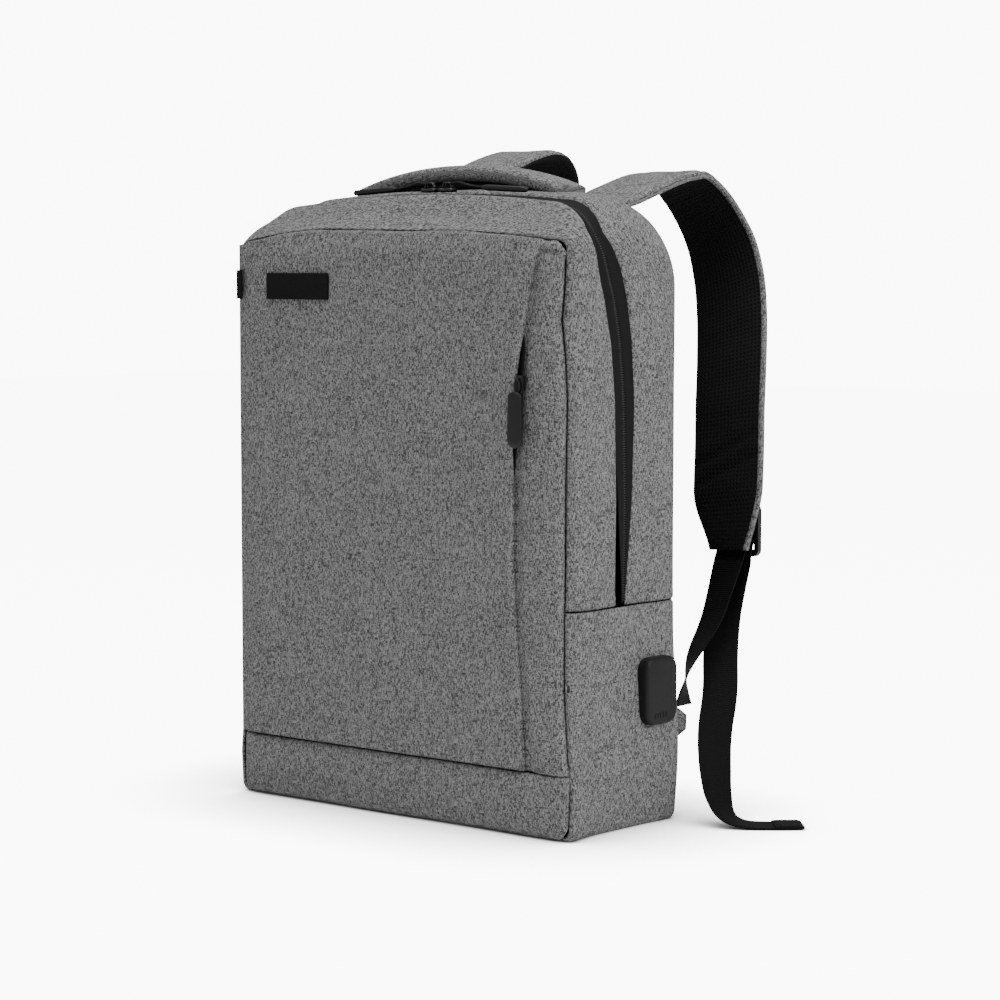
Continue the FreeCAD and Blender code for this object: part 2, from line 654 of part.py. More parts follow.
def make_inside():
    """The padded laptop divider and the pouch for a power bank."""
    half = HALF_WIDTH - WALL - SLEEVE_SIDE_GAP
    divider = rounded_slab(-half, half, DIVIDER_Y, DIVIDER_Y + DIVIDER_THICKNESS, WALL,
                           DIVIDER_TOP, 18.0)
    save(divider.common(form(WALL)).cut(port_space()), "laptop_divider")
    wall_x = HALF_WIDTH - WALL
    y0 = POUCH_FRONT_Y
    y1 = POUCH_FRONT_Y + POUCH_WIDTH
    outside = block(wall_x - POUCH_DEPTH, wall_x, y0, y1, WALL + FIT, POUCH_TOP)
    hollow = block(wall_x - POUCH_DEPTH + POUCH_CLOTH, wall_x + 1, y0 + POUCH_CLOTH,
                   y1 - POUCH_CLOTH, WALL + FIT + POUCH_CLOTH, POUCH_TOP + 1)
    save(outside.cut(hollow).common(form(WALL)), "power_bank_pouch")


def port_space():
    """Room that the charging socket and the start of its lead need inside the bag."""
    inner = HALF_WIDTH - WALL - SOCKET_DEPTH - LEAD_DIAMETER * 9
    half_width = SOCKET_WIDTH / 2 + LEAD_DIAMETER
    half_height = SOCKET_HEIGHT / 2 + LEAD_DIAMETER * 2
    return block(inner, BIG, PORT_Y - half_width, PORT_Y + half_width, PORT_Z - half_height,
                 PORT_Z + half_height)


def make_port():
    """The moulded charging port on the side, its backing plate, socket and inner lead."""
    face_x = HALF_WIDTH
    half_width = PORT_WIDTH / 2
    half_height = PORT_HEIGHT / 2

    def sheet(y, z):
        return V(face_x, y, z)

    radii = [PORT_CORNER / 3, PORT_CORNER / 3, PORT_CORNER, PORT_CORNER]
    wire = rounded_wire(PORT_Y - half_width, PORT_Y + half_width, PORT_Z - half_height,
                        PORT_Z + half_height, radii, sheet)
    housing = Part.Face(wire).extrude(V(PORT_PROUD, 0, 0))
    rim = [edge for edge in housing.Edges if edge.BoundBox.XMin > face_x + PORT_PROUD - 0.1]
    housing = housing.makeFillet(2.2, rim)
    mouth = block(face_x - 1, face_x + PORT_PROUD - 2.0, PORT_Y - SOCKET_WIDTH / 2,
                  PORT_Y + SOCKET_WIDTH / 2, PORT_Z - half_height - 1, PORT_Z - half_height + 9)
    save(housing.cut(mouth), "usb_port_housing")

    socket_end = HALF_WIDTH - WALL - SOCKET_DEPTH
    plate = block(HALF_WIDTH - WALL - PORT_FOOT_THICKNESS, HALF_WIDTH - WALL,
                  PORT_Y - half_width - PORT_FOOT_MARGIN + 6, PORT_Y + half_width + PORT_FOOT_MARGIN - 6,
                  PORT_Z - half_height, PORT_Z + half_height)
    bore = block(socket_end - 1, HALF_WIDTH - WALL + 1, PORT_Y - SOCKET_WIDTH / 2,
                 PORT_Y + SOCKET_WIDTH / 2, PORT_Z - SOCKET_HEIGHT / 2, PORT_Z + SOCKET_HEIGHT / 2)
    save(plate.common(form(WALL)).cut(bore), "usb_backing_plate")
    socket = block(socket_end, HALF_WIDTH - WALL, PORT_Y - SOCKET_WIDTH / 2,
                   PORT_Y + SOCKET_WIDTH / 2, PORT_Z - SOCKET_HEIGHT / 2, PORT_Z + SOCKET_HEIGHT / 2)
    save(socket, "usb_socket")
    lead = round_cord(LEAD_ROUTE, LEAD_DIAMETER, "usb_lead")
    save(lead, "usb_lead")
    tip = V(*LEAD_ROUTE[-1])
    plug = block(tip.x - PLUG_THICKNESS / 2, tip.x + PLUG_THICKNESS / 2, tip.y - PLUG_WIDTH / 2,
                 tip.y + PLUG_WIDTH / 2, tip.z - PLUG_LENGTH, tip.z)
    save(plug.cut(lead), "usb_lead_plug")


def make_label():
    """A plain folded label sewn into the left front seam."""
    label = block(-HALF_WIDTH - 2.2, -HALF_WIDTH, FRONT_Y + 15, FRONT_Y + 24, 363, 384)
    save(label, "side_label")


# ---- shoulder straps ------------------------------------------------------------------
def strap_widths(count):
    """Full width down to the last stretch, then narrowing to the tip."""
    widths = []
    for index in range(count):
        from_end = count - 1 - index
        if from_end == 0:
            widths.append(STRAP_TIP_WIDTH)
        elif from_end == 1:
            widths.append(STRAP_WIDTH - 7)
        elif from_end == 2:
            widths.append(STRAP_WIDTH - 3)
        else:
            widths.append(STRAP_WIDTH)
    return widths


def make_strap(route, side):
    """One shoulder strap: padded cloth outside, mesh lining inside, and its sewn yoke."""
    points = [V(*point) for point in route]
    points[0] = points[0] + V(0, STRAP_ROOT_GAP, 0)
    acrosses = [V(1, 0, 0)] * len(points)
    widths = strap_widths(len(points))
    cloth_thickness = STRAP_THICKNESS - LINING_THICKNESS
    cloth = ribbon(points, acrosses, widths, cloth_thickness, -LINING_THICKNESS / 2)
    save(cloth, "strap_pad_" + side)
    lining = ribbon(points, acrosses, widths, LINING_THICKNESS, cloth_thickness / 2)
    save(lining, "strap_lining_" + side)

    root_x = route[0][0]
    half = STRAP_WIDTH / 2
    yoke = block(root_x - half, root_x + half, BACK_Y - REAR_TOP_RADIUS, HINGE_Y, HINGE_Z - YOKE_THICKNESS / 2,
                 HINGE_Z + YOKE_THICKNESS / 2)
    save(yoke.cut(form(0)), "strap_yoke_" + side)


def make_buckle(side, outward):
    """Ladder buckle at the strap's tip, with the webbing loop that holds its top bar."""
    x = BUCKLE_CENTRE_X
    y = BUCKLE_CENTRE_Y
    half = BUCKLE_WIDTH / 2
    thick = BUCKLE_THICKNESS / 2
    bar = BUCKLE_BAR_RADIUS
    bar_z = BUCKLE_TOP_Z - bar
    slot = (WEBBING_WIDTH + 2.0) / 2
    frame = rounded_slab(x - half, x + half, y - thick, y + thick, BUCKLE_TOP_Z - BUCKLE_HEIGHT,
                         BUCKLE_TOP_Z, 5.0)
    upper = block(x - slot, x + slot, y - BIG, y + BIG, bar_z - 12.5, BUCKLE_TOP_Z + 1)
    lower = block(x - slot, x + slot, y - BIG, y + BIG, BUCKLE_TOP_Z - BUCKLE_HEIGHT + 5.0,
                  bar_z - 17.5)
    bar_solid = Part.makeCylinder(bar, 2 * slot + 2, V(x - slot - 1, y, bar_z), V(1, 0, 0))
    buckle = frame.cut(upper).cut(lower).fuse(bar_solid).removeSplitter()
    place(buckle, "ladder_buckle_" + side, outward)

    inner = bar + BUCKLE_LOOP_CLEARANCE
    outer = inner + WEBBING_THICKNESS
    leg_top = bar_z + 8.0
    left = x - WEBBING_WIDTH / 2
    ring = Part.makeCylinder(outer, WEBBING_WIDTH, V(left, y, bar_z), V(1, 0, 0))
    legs = block(left, left + WEBBING_WIDTH, y - outer, y + outer, bar_z, leg_top)
    gap = Part.makeCylinder(inner, WEBBING_WIDTH, V(left, y, bar_z), V(1, 0, 0))
    gap_legs = block(left, left + WEBBING_WIDTH, y - inner, y + inner, bar_z, leg_top - WEBBING_THICKNESS)
    place(ring.fuse(legs).cut(gap.fuse(gap_legs)), "buckle_loop_" + side, outward)


def place(shape, node, outward):
    """Save a piece drawn for the right side, mirrored when it belongs on the left."""
    save(shape if outward > 0 else mirrored(shape), node)


def make_webbing():
    """Loose tails, the lengths back to the bag, and the corner tabs that hold them."""
    tails = {
        "right": (RIGHT_TAIL_ROUTE, RIGHT_TAIL_TURN),
        "left": (LEFT_TAIL_ROUTE, LEFT_TAIL_TURN),
    }
    for side, (route, turns) in tails.items():
        save(webbing(route, turns, "tail_webbing_" + side), "tail_webbing_" + side)
        tip = V(*route[-1])
        along = tip - V(*route[-2])
        start = V(tip.x, tip.y, TAIL_END_THICKNESS / 2)
        end = start + V(along.x, along.y, 0).normalize() * TAIL_END_LENGTH
        across = [heading(turns[-1])] * 2
        end_piece = ribbon([start, end], across, [WEBBING_WIDTH] * 2, TAIL_END_THICKNESS)
        save(end_piece, "tail_end_" + side)

    run = webbing(RUN_ROUTE, RUN_TURN, "strap_run")
    tab = make_tab()
    for side, outward in (("right", 1), ("left", -1)):
        place(run.cut(tab), "strap_run_" + side, outward)
        place(tab, "corner_tab_" + side, outward)


def make_tab():
    """A stiff cloth triangle sewn into the rear corner seam."""
    x0 = HALF_WIDTH - REAR_CORNER_RADIUS - 4
    y0 = BACK_Y - 8
    middle = (ANCHOR_TAB_TOP + ANCHOR_TAB_BOTTOM) / 2 - 4
    lean = 10.0
    corners = [
        V(x0, y0, ANCHOR_TAB_BOTTOM), V(x0 + lean + 3, BACK_Y + ANCHOR_TAB_REACH, middle - 6),
        V(x0 + lean + 3, BACK_Y + ANCHOR_TAB_REACH, middle + 6), V(x0, y0, ANCHOR_TAB_TOP),
    ]
    wire = Part.makePolygon(corners + corners[:1])
    tab = Part.Face(wire).extrude(V(ANCHOR_TAB_THICKNESS, -0.9, 0))
    pad_half = BACK_PAD_WIDTH / 2 + FIT
    pad_room = block(-pad_half, pad_half, -BIG, BIG, -BIG, BIG)
    return tab.cut(form(0)).cut(pad_room)


make_cloth()
make_front_pocket()
make_slider(LEFT_SLIDER_X, -1, "left")
make_slider(RIGHT_SLIDER_X, 1, "right")
make_handle()
make_back_pad()
make_inside()
make_port()
make_label()
make_strap(RIGHT_STRAP_ROUTE, "right")
make_strap(LEFT_STRAP_ROUTE, "left")
make_buckle("right", 1)
make_buckle("left", -1)
make_webbing()
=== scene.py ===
"""Looks of a laptop backpack: its sewn cloth, zips, straps, webbing and charging socket.

Metres, +Z up, -Y the front of the bag, +X its socket side. Every shape is a grid of points
worked out with numpy, from a function of two parameters or a profile along a path.
"""
import math
import bpy
import numpy as np
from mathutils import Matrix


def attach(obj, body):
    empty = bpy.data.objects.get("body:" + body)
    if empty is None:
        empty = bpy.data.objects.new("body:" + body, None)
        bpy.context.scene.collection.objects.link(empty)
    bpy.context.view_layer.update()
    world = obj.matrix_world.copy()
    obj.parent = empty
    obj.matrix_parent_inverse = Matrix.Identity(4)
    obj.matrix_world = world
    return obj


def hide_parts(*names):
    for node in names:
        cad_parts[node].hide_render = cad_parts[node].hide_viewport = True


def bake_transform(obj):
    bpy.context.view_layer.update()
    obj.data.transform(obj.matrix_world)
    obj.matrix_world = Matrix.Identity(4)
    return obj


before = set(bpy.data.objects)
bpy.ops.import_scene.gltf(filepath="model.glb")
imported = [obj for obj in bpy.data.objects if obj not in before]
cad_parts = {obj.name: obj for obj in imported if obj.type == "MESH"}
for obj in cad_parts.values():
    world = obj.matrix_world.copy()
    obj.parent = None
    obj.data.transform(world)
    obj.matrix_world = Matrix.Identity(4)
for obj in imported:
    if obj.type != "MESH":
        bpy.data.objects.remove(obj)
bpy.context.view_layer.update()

MM = 0.001
RIGHT, LEFT = 1, -1
SIDES = (("right", RIGHT), ("left", LEFT))

# ---- the bag's own sizes --------------------------------------------------------------
HALF_WIDTH = 0.151
FRONT, BACK = -0.060, 0.0625
FRONT_LOOP, BACK_LOOP = -0.0572, 0.0607   # depth of the seams round the front and the back
FRONT_ROUND, BACK_ROUND, FOOT_ROUND = 0.010, 0.006, 0.007
SHOULDER_ROUND = 0.042
SIDE_TOP = 0.398
FOLD = 0.155
BAND = 0.045
PANEL_FACE = -0.0624
ZIP_HALF = 0.0098
SLACK = 0.0006                # unevenness of the cloth beside the zip
# How much further back than its half width the zip band reaches, by height.
ZIP_SPREAD = [(0.155, -0.0095), (0.170, -0.0088), (0.215, -0.0046), (0.280, 0.0),
              (0.365, 0.0030), (0.390, 0.0024), (0.420, -0.0030), (0.440, 0.0)]
TOP_LINE = [(-0.060, 0.397), (-0.0585, 0.4018), (-0.0572, 0.4040), (-0.052, 0.4076),
            (-0.040, 0.4218), (-0.031, 0.4350), (-0.0275, 0.4385), (-0.024, 0.4382),
            (-0.018, 0.4372), (-0.010, 0.4376), (-0.002, 0.4400), (0.0205, 0.4400)]
RIDGE_BOW = [(-0.150, 0.0005), (-0.110, 0.0070), (-0.073, 0.0100), (0.0, 0.0085),
             (0.060, 0.0078), (0.100, 0.0050), (0.127, 0.0030), (0.145, 0.0010)]
ZIP_LINE = [(0.120, 0.0054), (0.155, 0.0062), (0.228, 0.0074), (0.296, 0.0055),
            (0.337, 0.0010), (0.371, -0.0065), (0.398, -0.0155), (0.418, -0.0205),
            (0.432, -0.0190), (0.440, -0.0180)]
PANEL_EDGE = [(0.045, 0.1163), (0.050, 0.1162), (0.094, 0.1135), (0.135, 0.1092),
              (0.189, 0.1065), (0.264, 0.1074), (0.297, 0.1091), (0.344, 0.1159),
              (0.364, 0.1193), (0.392, 0.1270), (0.402, 0.1300)]
SEAM_WANDER = [(0.0, 0.004), (0.030, 0.0055), (0.055, 0.0035), (0.10, 0.0), (0.157, 0.0),
               (0.24, 0.0005), (0.298, 0.0018), (0.325, 0.0), (0.351, -0.0035),
               (0.372, -0.001), (0.392, 0.0), (0.41, 0.0)]

# ---- girth round the bag, from the foot of the right side over the top ------------------
FOOT_ARC = FOOT_ROUND * math.pi / 2
SIDE_RUN = SIDE_TOP - FOOT_ROUND
SHOULDER_ARC = SHOULDER_ROUND * math.pi / 2
TOP_RUN = HALF_WIDTH - SHOULDER_ROUND
HALF_GIRTH = FOOT_ARC + SIDE_RUN + SHOULDER_ARC + TOP_RUN
GIRTH = 2 * HALF_GIRTH
FOLD_GIRTH = FOOT_ARC + FOLD - FOOT_ROUND


# ---- numpy helpers --------------------------------------------------------------------
def along_table(table, value):
    """Straight interpolation in a table of (place, value) pairs."""
    places, values = np.array(table).T
    return np.interp(value, places, values)


def ease(value):
    """A smooth step from 0 to 1: three squares less two cubes."""
    held = np.clip(value, 0.0, 1.0)
    return held * held * (3 - 2 * held)


def bell(value, middle, width):
    """A smooth hump: e to the minus square of the distance over the width."""
    return np.exp(-((value - middle) / width) ** 2)


def fallback(distance, radius):
    """How far a round edge has fallen back: radius less the root of its square less the rest's."""
    rest = np.clip(radius - distance, 0.0, radius)
    return radius - np.sqrt(radius ** 2 - rest ** 2)


def graded(start, end, count, edge=0.005, steps=6):
    """Even places between two ends, with closer ones within an edge's width of both."""
    near = np.linspace(0.0, edge, steps)
    middle = np.linspace(start + edge, end - edge, count)
    return np.concatenate([start + near[:-1], middle, end - near[:-1][::-1]])


def unit(vectors):
    """Vectors over their lengths."""
    return vectors / np.maximum(np.linalg.norm(vectors, axis=-1, keepdims=True), 1e-12)


def facing(grid):
    """Each point's normal: the grid's step across, crossed with its step along."""
    return unit(np.cross(np.gradient(grid, axis=1), np.gradient(grid, axis=0)))


def runs(grid, axis):
    """Length along a grid from its first row or column to each point."""
    steps = np.linalg.norm(np.diff(grid, axis=axis), axis=-1)
    start = np.zeros_like(np.take(steps, [0], axis=axis))
    return np.concatenate([start, np.cumsum(steps, axis=axis)], axis=axis)


WAVE_COUNT = 5


def waves(first, second, seed, length):
    """Soft unevenness: a sum of sines across the surface in seeded directions, about -1 to 1."""
    rng = np.random.default_rng(seed)
    total = np.zeros(np.broadcast(first, second).shape)
    for turn, stretch, phase in rng.random((WAVE_COUNT, 3)):
        angle = turn * math.tau
        step = math.tau / (length * (0.6 + stretch))
        across = first * math.cos(angle) + second * math.sin(angle)
        total += np.sin(across * step + phase * math.tau)
    return total / math.sqrt(WAVE_COUNT * 2)


def rolled(grid, edges, depth=0.003, reach=0.0045):
    """The grid with some edges turned in round a quarter curve, against its normal."""
    across, along = runs(grid, 1), runs(grid, 0)
    away = {"l": across, "r": across[:, -1:] - across, "b": along, "t": along[-1:] - along}
    fall = np.zeros(across.shape)
    for edge in edges:
        fall = np.maximum(fall, fallback(away[edge], reach) / reach)
    return grid - facing(grid) * (fall * depth)[..., None]


def proud(grid, amount):
    """The grid moved out along its normal."""
    return grid + facing(grid) * np.broadcast_to(amount, grid.shape[:2])[..., None]


def stack(*parts):
    """Coordinates of one shape from three arrays that broadcast."""
    return np.stack(np.broadcast_arrays(*parts), axis=-1)


def wander(grid):
    """Where the cloth pulls and sags away from a plain box.

    The right front seam strays sideways, the ridge over the front bows up, the strip beside
    the right front seam turns towards the side, and the rear half is a little wider.
    """
    x, y, z = np.moveaxis(grid, -1, 0)
    near = bell(x, 0.150, 0.016) * bell(y, -0.059, 0.020)
    shift = along_table(SEAM_WANDER, z) * near
    bow = along_table(RIDGE_BOW, x) * ease((z - 0.36) / 0.044) * bell(y, -0.059, 0.014)
    turned = ease((x - 0.112) / 0.036) * bell(y, -0.059, 0.014) * ease((z - 0.05) / 0.04)
    left = ease((-x - 0.10) / 0.04) * bell(y, -0.059, 0.03)
    wider = 0.022 * x * ease((y - 0.020) / 0.036)
    moved = stack(shift - 0.0040 * turned - 0.0017 * left + wider,
                  0.0050 * turned - shift * 0.15, bow)
    return grid + moved


# ---- making meshes --------------------------------------------------------------------
def new_object(name, points, faces, chart, materials):
    """A smooth mesh object from points, faces and a chart of surface distances in metres."""
    mesh = bpy.data.meshes.new(name)
    mesh.from_pydata(points.reshape(-1, 3).tolist(), [], faces)
    layer = mesh.uv_layers.new(name="chart")
    corners = np.zeros(len(mesh.loops), int)
    mesh.loops.foreach_get("vertex_index", corners)
    layer.data.foreach_set("uv", chart.reshape(-1, 2)[corners].astype(np.float32).ravel())
    mesh.polygons.foreach_set("use_smooth", np.ones(len(mesh.polygons), bool))
    for material in materials:
        mesh.materials.append(material)
    piece = bpy.data.objects.new(name, mesh)
    bpy.context.scene.collection.objects.link(piece)
    return piece


def grid_faces(rows, columns, closed=False):
    """Quads of a grid whose normal is its step across crossed with its step along."""
    index = np.arange(rows * columns).reshape(rows, columns)
    if closed:
        index = np.concatenate([index, index[:, :1]], axis=1)
    quads = np.stack([index[:-1, :-1], index[:-1, 1:], index[1:, 1:], index[1:, :-1]], axis=-1)
    return quads.reshape(-1, 4).tolist()


def cloth_piece(name, grid, materials, thickness=0.0013, flip=False):
    """A sewn sheet: the grid as its outside, given a thickness inwards and a lining."""
    if flip:
        grid = grid[:, ::-1]
    chart = np.stack([runs(grid, 1), runs(grid, 0)], axis=-1)
    piece = new_object(name, grid, grid_faces(*grid.shape[:2]), chart, materials)
    wall = piece.modifiers.new("wall", "SOLIDIFY")
    wall.thickness, wall.offset = thickness, -1
    wall.material_offset = len(materials) - 1
    return piece


def smooth(piece, levels):
    """Subdivision at the same level in the view and the render."""
    if levels:
        finer = piece.modifiers.new("finer", "SUBSURF")
        finer.levels = finer.render_levels = levels


def swept(name, path, across, profile, materials, levels=0):
    """A solid: a closed outline of (across, out) distances carried along a path.

    The outline may be one for the whole path or one for each of its points. Out is the
    direction along the path crossed with the direction across. Flat faces close both ends.
    """
    path = np.asarray(path, float)
    forward = unit(np.gradient(path, axis=0))
    across = np.broadcast_to(np.asarray(across, float), path.shape)
    across = unit(across - forward * (across * forward).sum(1, keepdims=True))
    out = np.cross(forward, across)
    profile = np.broadcast_to(profile, (len(path),) + np.shape(profile)[-2:])
    rings = (path[:, None] + profile[..., :1] * across[:, None]
             + profile[..., 1:] * out[:, None])
    rows, columns = rings.shape[:2]
    faces = grid_faces(rows, columns, closed=True)
    faces.append(list(range(columns))[::-1])
    faces.append(list(range((rows - 1) * columns, rows * columns)))
    length = runs(path[:, None], 0)
    girth = runs(np.concatenate([rings, rings[:, :1]], axis=1), 1)[:, :-1]
    chart = np.stack(np.broadcast_arrays(girth, length), axis=-1)
    piece = new_object(name, rings, faces, chart, materials)
    smooth(piece, levels)
    return piece


def lozenge(width, height, power=4.0, count=28):
    """A rounded rectangle as a superellipse: cosine and sine to two over a power."""
    turn = np.linspace(0, math.tau, count, endpoint=False)
    wave = np.stack([np.cos(turn), np.sin(turn)], axis=-1)
    shape = np.sign(wave) * np.abs(wave) ** (2 / power)
    return shape * np.array([width / 2, height / 2])


def smooth_line(points, count):
    """A curve through points: each stretch a cubic with the neighbours' slopes."""
    points = np.array(points, float)
    padded = np.concatenate([2 * points[:1] - points[1:2], points, 2 * points[-1:] - points[-2:-1]])
    place = np.linspace(0, len(points) - 1 - 1e-9, count)
    index = place.astype(int)
    t = (place - index)[:, None]
    a, b, c, d = (padded[index + k] for k in range(4))
    return 0.5 * (2 * b + (c - a) * t + (2 * a - 5 * b + 4 * c - d) * t ** 2
                  + (3 * b - a - 3 * c + d) * t ** 3)


def slab(name, low, high, materials, bevel=0.0006, segments=3, corner=0.0, faces_along="y"):
    """A small moulded block: a rounded outline drawn out along an axis and bevelled."""
    low, high = np.array(low, float), np.array(high, float)
    size, middle = high - low, (low + high) / 2
    axis = "xyz".index(faces_along)
    first, second = [k for k in range(3) if k != axis]
    turn = np.linspace(0, math.tau, 48, endpoint=False) + math.tau / 96
    wave = np.stack([np.cos(turn), np.sin(turn)], axis=-1)
    radius = max(corner, bevel)
    span = np.array([size[first], size[second]]) / 2 - radius
    outline = np.sign(wave) * span + wave * radius
    rings = np.zeros((2, len(outline), 3))
    rings[..., first] = middle[first] + outline[:, 0]
    rings[..., second] = middle[second] + outline[:, 1]
    rings[0, :, axis], rings[1, :, axis] = low[axis], high[axis]
    count = len(outline)
    faces = grid_faces(2, count, closed=True)
    faces.append(list(range(count))[::-1])
    faces.append(list(range(count, 2 * count)))
    if axis == 1:
        faces = [face[::-1] for face in faces]
    chart = rings[..., [first, second]]
    piece = new_object(name, rings, faces, chart, materials)
    edge = piece.modifiers.new("edge", "BEVEL")
    edge.width, edge.segments, edge.limit_method = bevel, segments, "ANGLE"
    edge.angle_limit = math.radians(50)
    return piece


def finish_piece(piece, body, slot, *nodes):
    """The piece moves with a body and stands for CAD nodes; its slot is not used."""
    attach(piece, body)
    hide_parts(*nodes)
    return piece


def bent_piece(piece, bodies, start, end, slot, *nodes):
    """The piece's placing is baked into its mesh and it stands for CAD nodes; its bodies, start,
    end and slot are not used.
    """
    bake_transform(piece)
    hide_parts(*nodes)
    return piece


# ---- shader maths ---------------------------------------------------------------------
class Signal:
    """A shader output that takes part in sums."""

    def __init__(self, finish, socket):
        self.finish, self.socket = finish, socket

    def join(self, operation, other, swapped=False):
        pair = (other, self) if swapped else (self, other)
        return self.finish.add("ShaderNodeMath", {"operation": operation}, {0: pair[0], 1: pair[1]})

    def __add__(self, other):
        return self.join("ADD", other)

    def __radd__(self, other):
        return self.join("ADD", other, True)

    def __sub__(self, other):
        return self.join("SUBTRACT", other)

    def __rsub__(self, other):
        return self.join("SUBTRACT", other, True)

    def __mul__(self, other):
        return self.join("MULTIPLY", other)

    def __rmul__(self, other):
        return self.join("MULTIPLY", other, True)

    def power(self, other):
        return self.join("POWER", other)

    def within(self, low, high):
        """0 below low, 1 above high, a smooth step between."""
        return self.finish.add("ShaderNodeMapRange", {"interpolation_type": "SMOOTHSTEP"},
                               {0: self, 1: low, 2: high, 3: 0.0, 4: 1.0})


class Finish:
    """One material and the shader tree behind it."""

    def __init__(self, name, **constants):
        self.material = bpy.data.materials.new(name)
        self.material.use_nodes = True
        self.tree = self.material.node_tree
        self.tree.nodes.clear()
        shader = self.add("ShaderNodeBsdfPrincipled", {}, {})
        self.shader = shader.socket.node
        self.add("ShaderNodeOutputMaterial", {}, {"Surface": shader})
        for socket, value in constants.items():
            self.shader.inputs[socket.replace("_", " ")].default_value = value

    def add(self, kind, settings, sockets, output=0):
        """A node of a kind, with its settings made first and then its sockets."""
        node = self.tree.nodes.new(kind)
        for key, value in settings.items():
            setattr(node, key, value)
        for key, value in sockets.items():
            if isinstance(value, Signal):
                self.tree.links.new(value.socket, node.inputs[key])
            else:
                node.inputs[key].default_value = value
        outputs = node.outputs
        return Signal(self, outputs[output]) if len(outputs) else None

    def set(self, socket, signal):
        """Feed one of the shader's sockets."""
        self.tree.links.new(signal.socket, self.shader.inputs[socket])

    def chart(self):
        """The piece's own chart of distances over its surface."""
        return self.add("ShaderNodeUVMap", {"uv_map": "chart"}, {})

    def place(self):
        """Distances in the frame that the whole object shares."""
        return self.add("ShaderNodeTexCoord", {}, {}, "Object")

    def stretched(self, vector, scales):
        """A vector with each part multiplied."""
        return self.add("ShaderNodeVectorMath", {"operation": "MULTIPLY"}, {0: vector, 1: scales})

    def noise(self, vector, scales, detail=1.0, rough=0.5):
        """Cloudy noise with its own number of features per metre each way."""
        scaled = self.stretched(vector, scales)
        return self.add("ShaderNodeTexNoise", {}, {"Vector": scaled, "Scale": 1.0,
                        "Detail": detail, "Roughness": rough})

    def threads(self, vector, scales):
        """A random value for each small cell, with its own number of cells per metre each way."""
        cell = self.add("ShaderNodeVectorMath", {"operation": "FLOOR"},
                        {0: self.stretched(vector, scales)})
        return self.add("ShaderNodeTexWhiteNoise", {}, {"Vector": cell})

    def blend(self, share, first, second):
        """Two colours mixed by a share."""
        return self.add("ShaderNodeMix", {"data_type": "RGBA"}, {0: share, 6: first, 7: second}, 2)

    def relief(self, height, distance, strength=1.0):
        """Small relief on the surface, from a height signal."""
        self.set("Normal", self.add("ShaderNodeBump", {}, {"Height": height,
                 "Distance": distance, "Strength": strength}))


def grey(value):
    """A linear grey."""
    return (value, value, value, 1.0)


def melange_cloth(name, dark, light):
    """Salt-and-pepper polyester: dark and pale threads crossing, with uneven slubs."""
    f = Finish(name, Roughness=0.9, Specular_IOR_Level=0.25)
    at = f.chart()
    upright = f.threads(at, (2300.0, 620.0, 2300.0))
    level = f.threads(at, (700.0, 2300.0, 700.0))
    grain = f.noise(at, (1900.0, 1250.0, 1900.0), 1.0)
    cloud = f.noise(at, (38.0, 26.0, 38.0), 2.0)
    mix = upright * 0.34 + level * 0.20 + grain * 0.46
    share = mix.within(0.34, 0.66) * 0.90 + cloud * 0.10
    f.set("Base Color", f.blend(share, grey(dark), grey(light)))
    f.set("Roughness", 0.78 + grain * 0.16)
    f.relief(grain * 0.7 + upright * 0.3, 0.0004, 0.4)
    return f.material


def black_web(name, tone, roughness, rib):
    """Woven black tape: fine ribs across it and a selvedge grain along it."""
    f = Finish(name, Roughness=roughness, Specular_IOR_Level=0.1)
    at = f.chart()
    ribs = f.add("ShaderNodeTexWave", {"bands_direction": "Y", "wave_type": "BANDS"},
                 {"Vector": at, "Scale": rib, "Distortion": 0.6, "Detail": 1.0})
    ribs = Signal(f, ribs.socket.node.outputs["Fac"])
    thread = f.noise(at, (2200.0, 500.0, 900.0), 1.0)
    f.set("Base Color", f.blend(ribs * 0.6 + thread * 0.4, grey(tone * 0.55), grey(tone * 1.5)))
    f.set("Roughness", roughness - 0.1 + thread * 0.2)
    f.relief(ribs * 0.7 + thread * 0.3, 0.0004, 0.8)
    return f.material


def smooth_black(name, tone, roughness, grain, coat=0.0, gloss=0.3):
    """Moulded or coated black: an even tone with a fine grain and faint rubbed patches."""
    f = Finish(name, Roughness=roughness, Coat_Weight=coat, Coat_Roughness=0.25,
               Specular_IOR_Level=gloss)
    at = f.place()
    fine = f.noise(at, (grain, grain, grain), 2.0, 0.6)
    patch = f.noise(at, (60.0, 60.0, 60.0), 2.0)
    f.set("Base Color", f.blend(patch * 0.7 + fine * 0.3, grey(tone * 0.75), grey(tone * 1.3)))
    f.set("Roughness", roughness - 0.08 + patch * 0.12 + fine * 0.06)
    f.relief(fine, 0.00012, 0.6)
    return f.material


def air_mesh(name, tone, pitch):
    """Knitted spacer mesh: rows of small holes, painted near black as shade inside them, each row
    half a step along.
    """
    f = Finish(name, Roughness=0.8, Specular_IOR_Level=0.15)
    at = f.chart()
    scaled = f.stretched(at, (1 / pitch, 1 / pitch, 1 / pitch))
    cells = f.add("ShaderNodeTexVoronoi", {"feature": "F1", "voronoi_dimensions": "2D"},
                  {"Vector": scaled, "Scale": 1.0, "Randomness": 0.12})
    # Painted shade: the middle of each cell, a hole, takes the near-black colour.
    ring = cells.within(0.20, 0.42)
    yarn = f.noise(at, (1500.0, 1500.0, 1500.0), 2.0)
    f.set("Base Color", f.blend(ring * 0.75 + yarn * 0.25, grey(tone * 0.12), grey(tone * 1.25)))
    f.set("Roughness", 0.72 + yarn * 0.2)
    f.relief(ring * 0.8 + yarn * 0.2, 0.0009, 0.9)
    return f.material


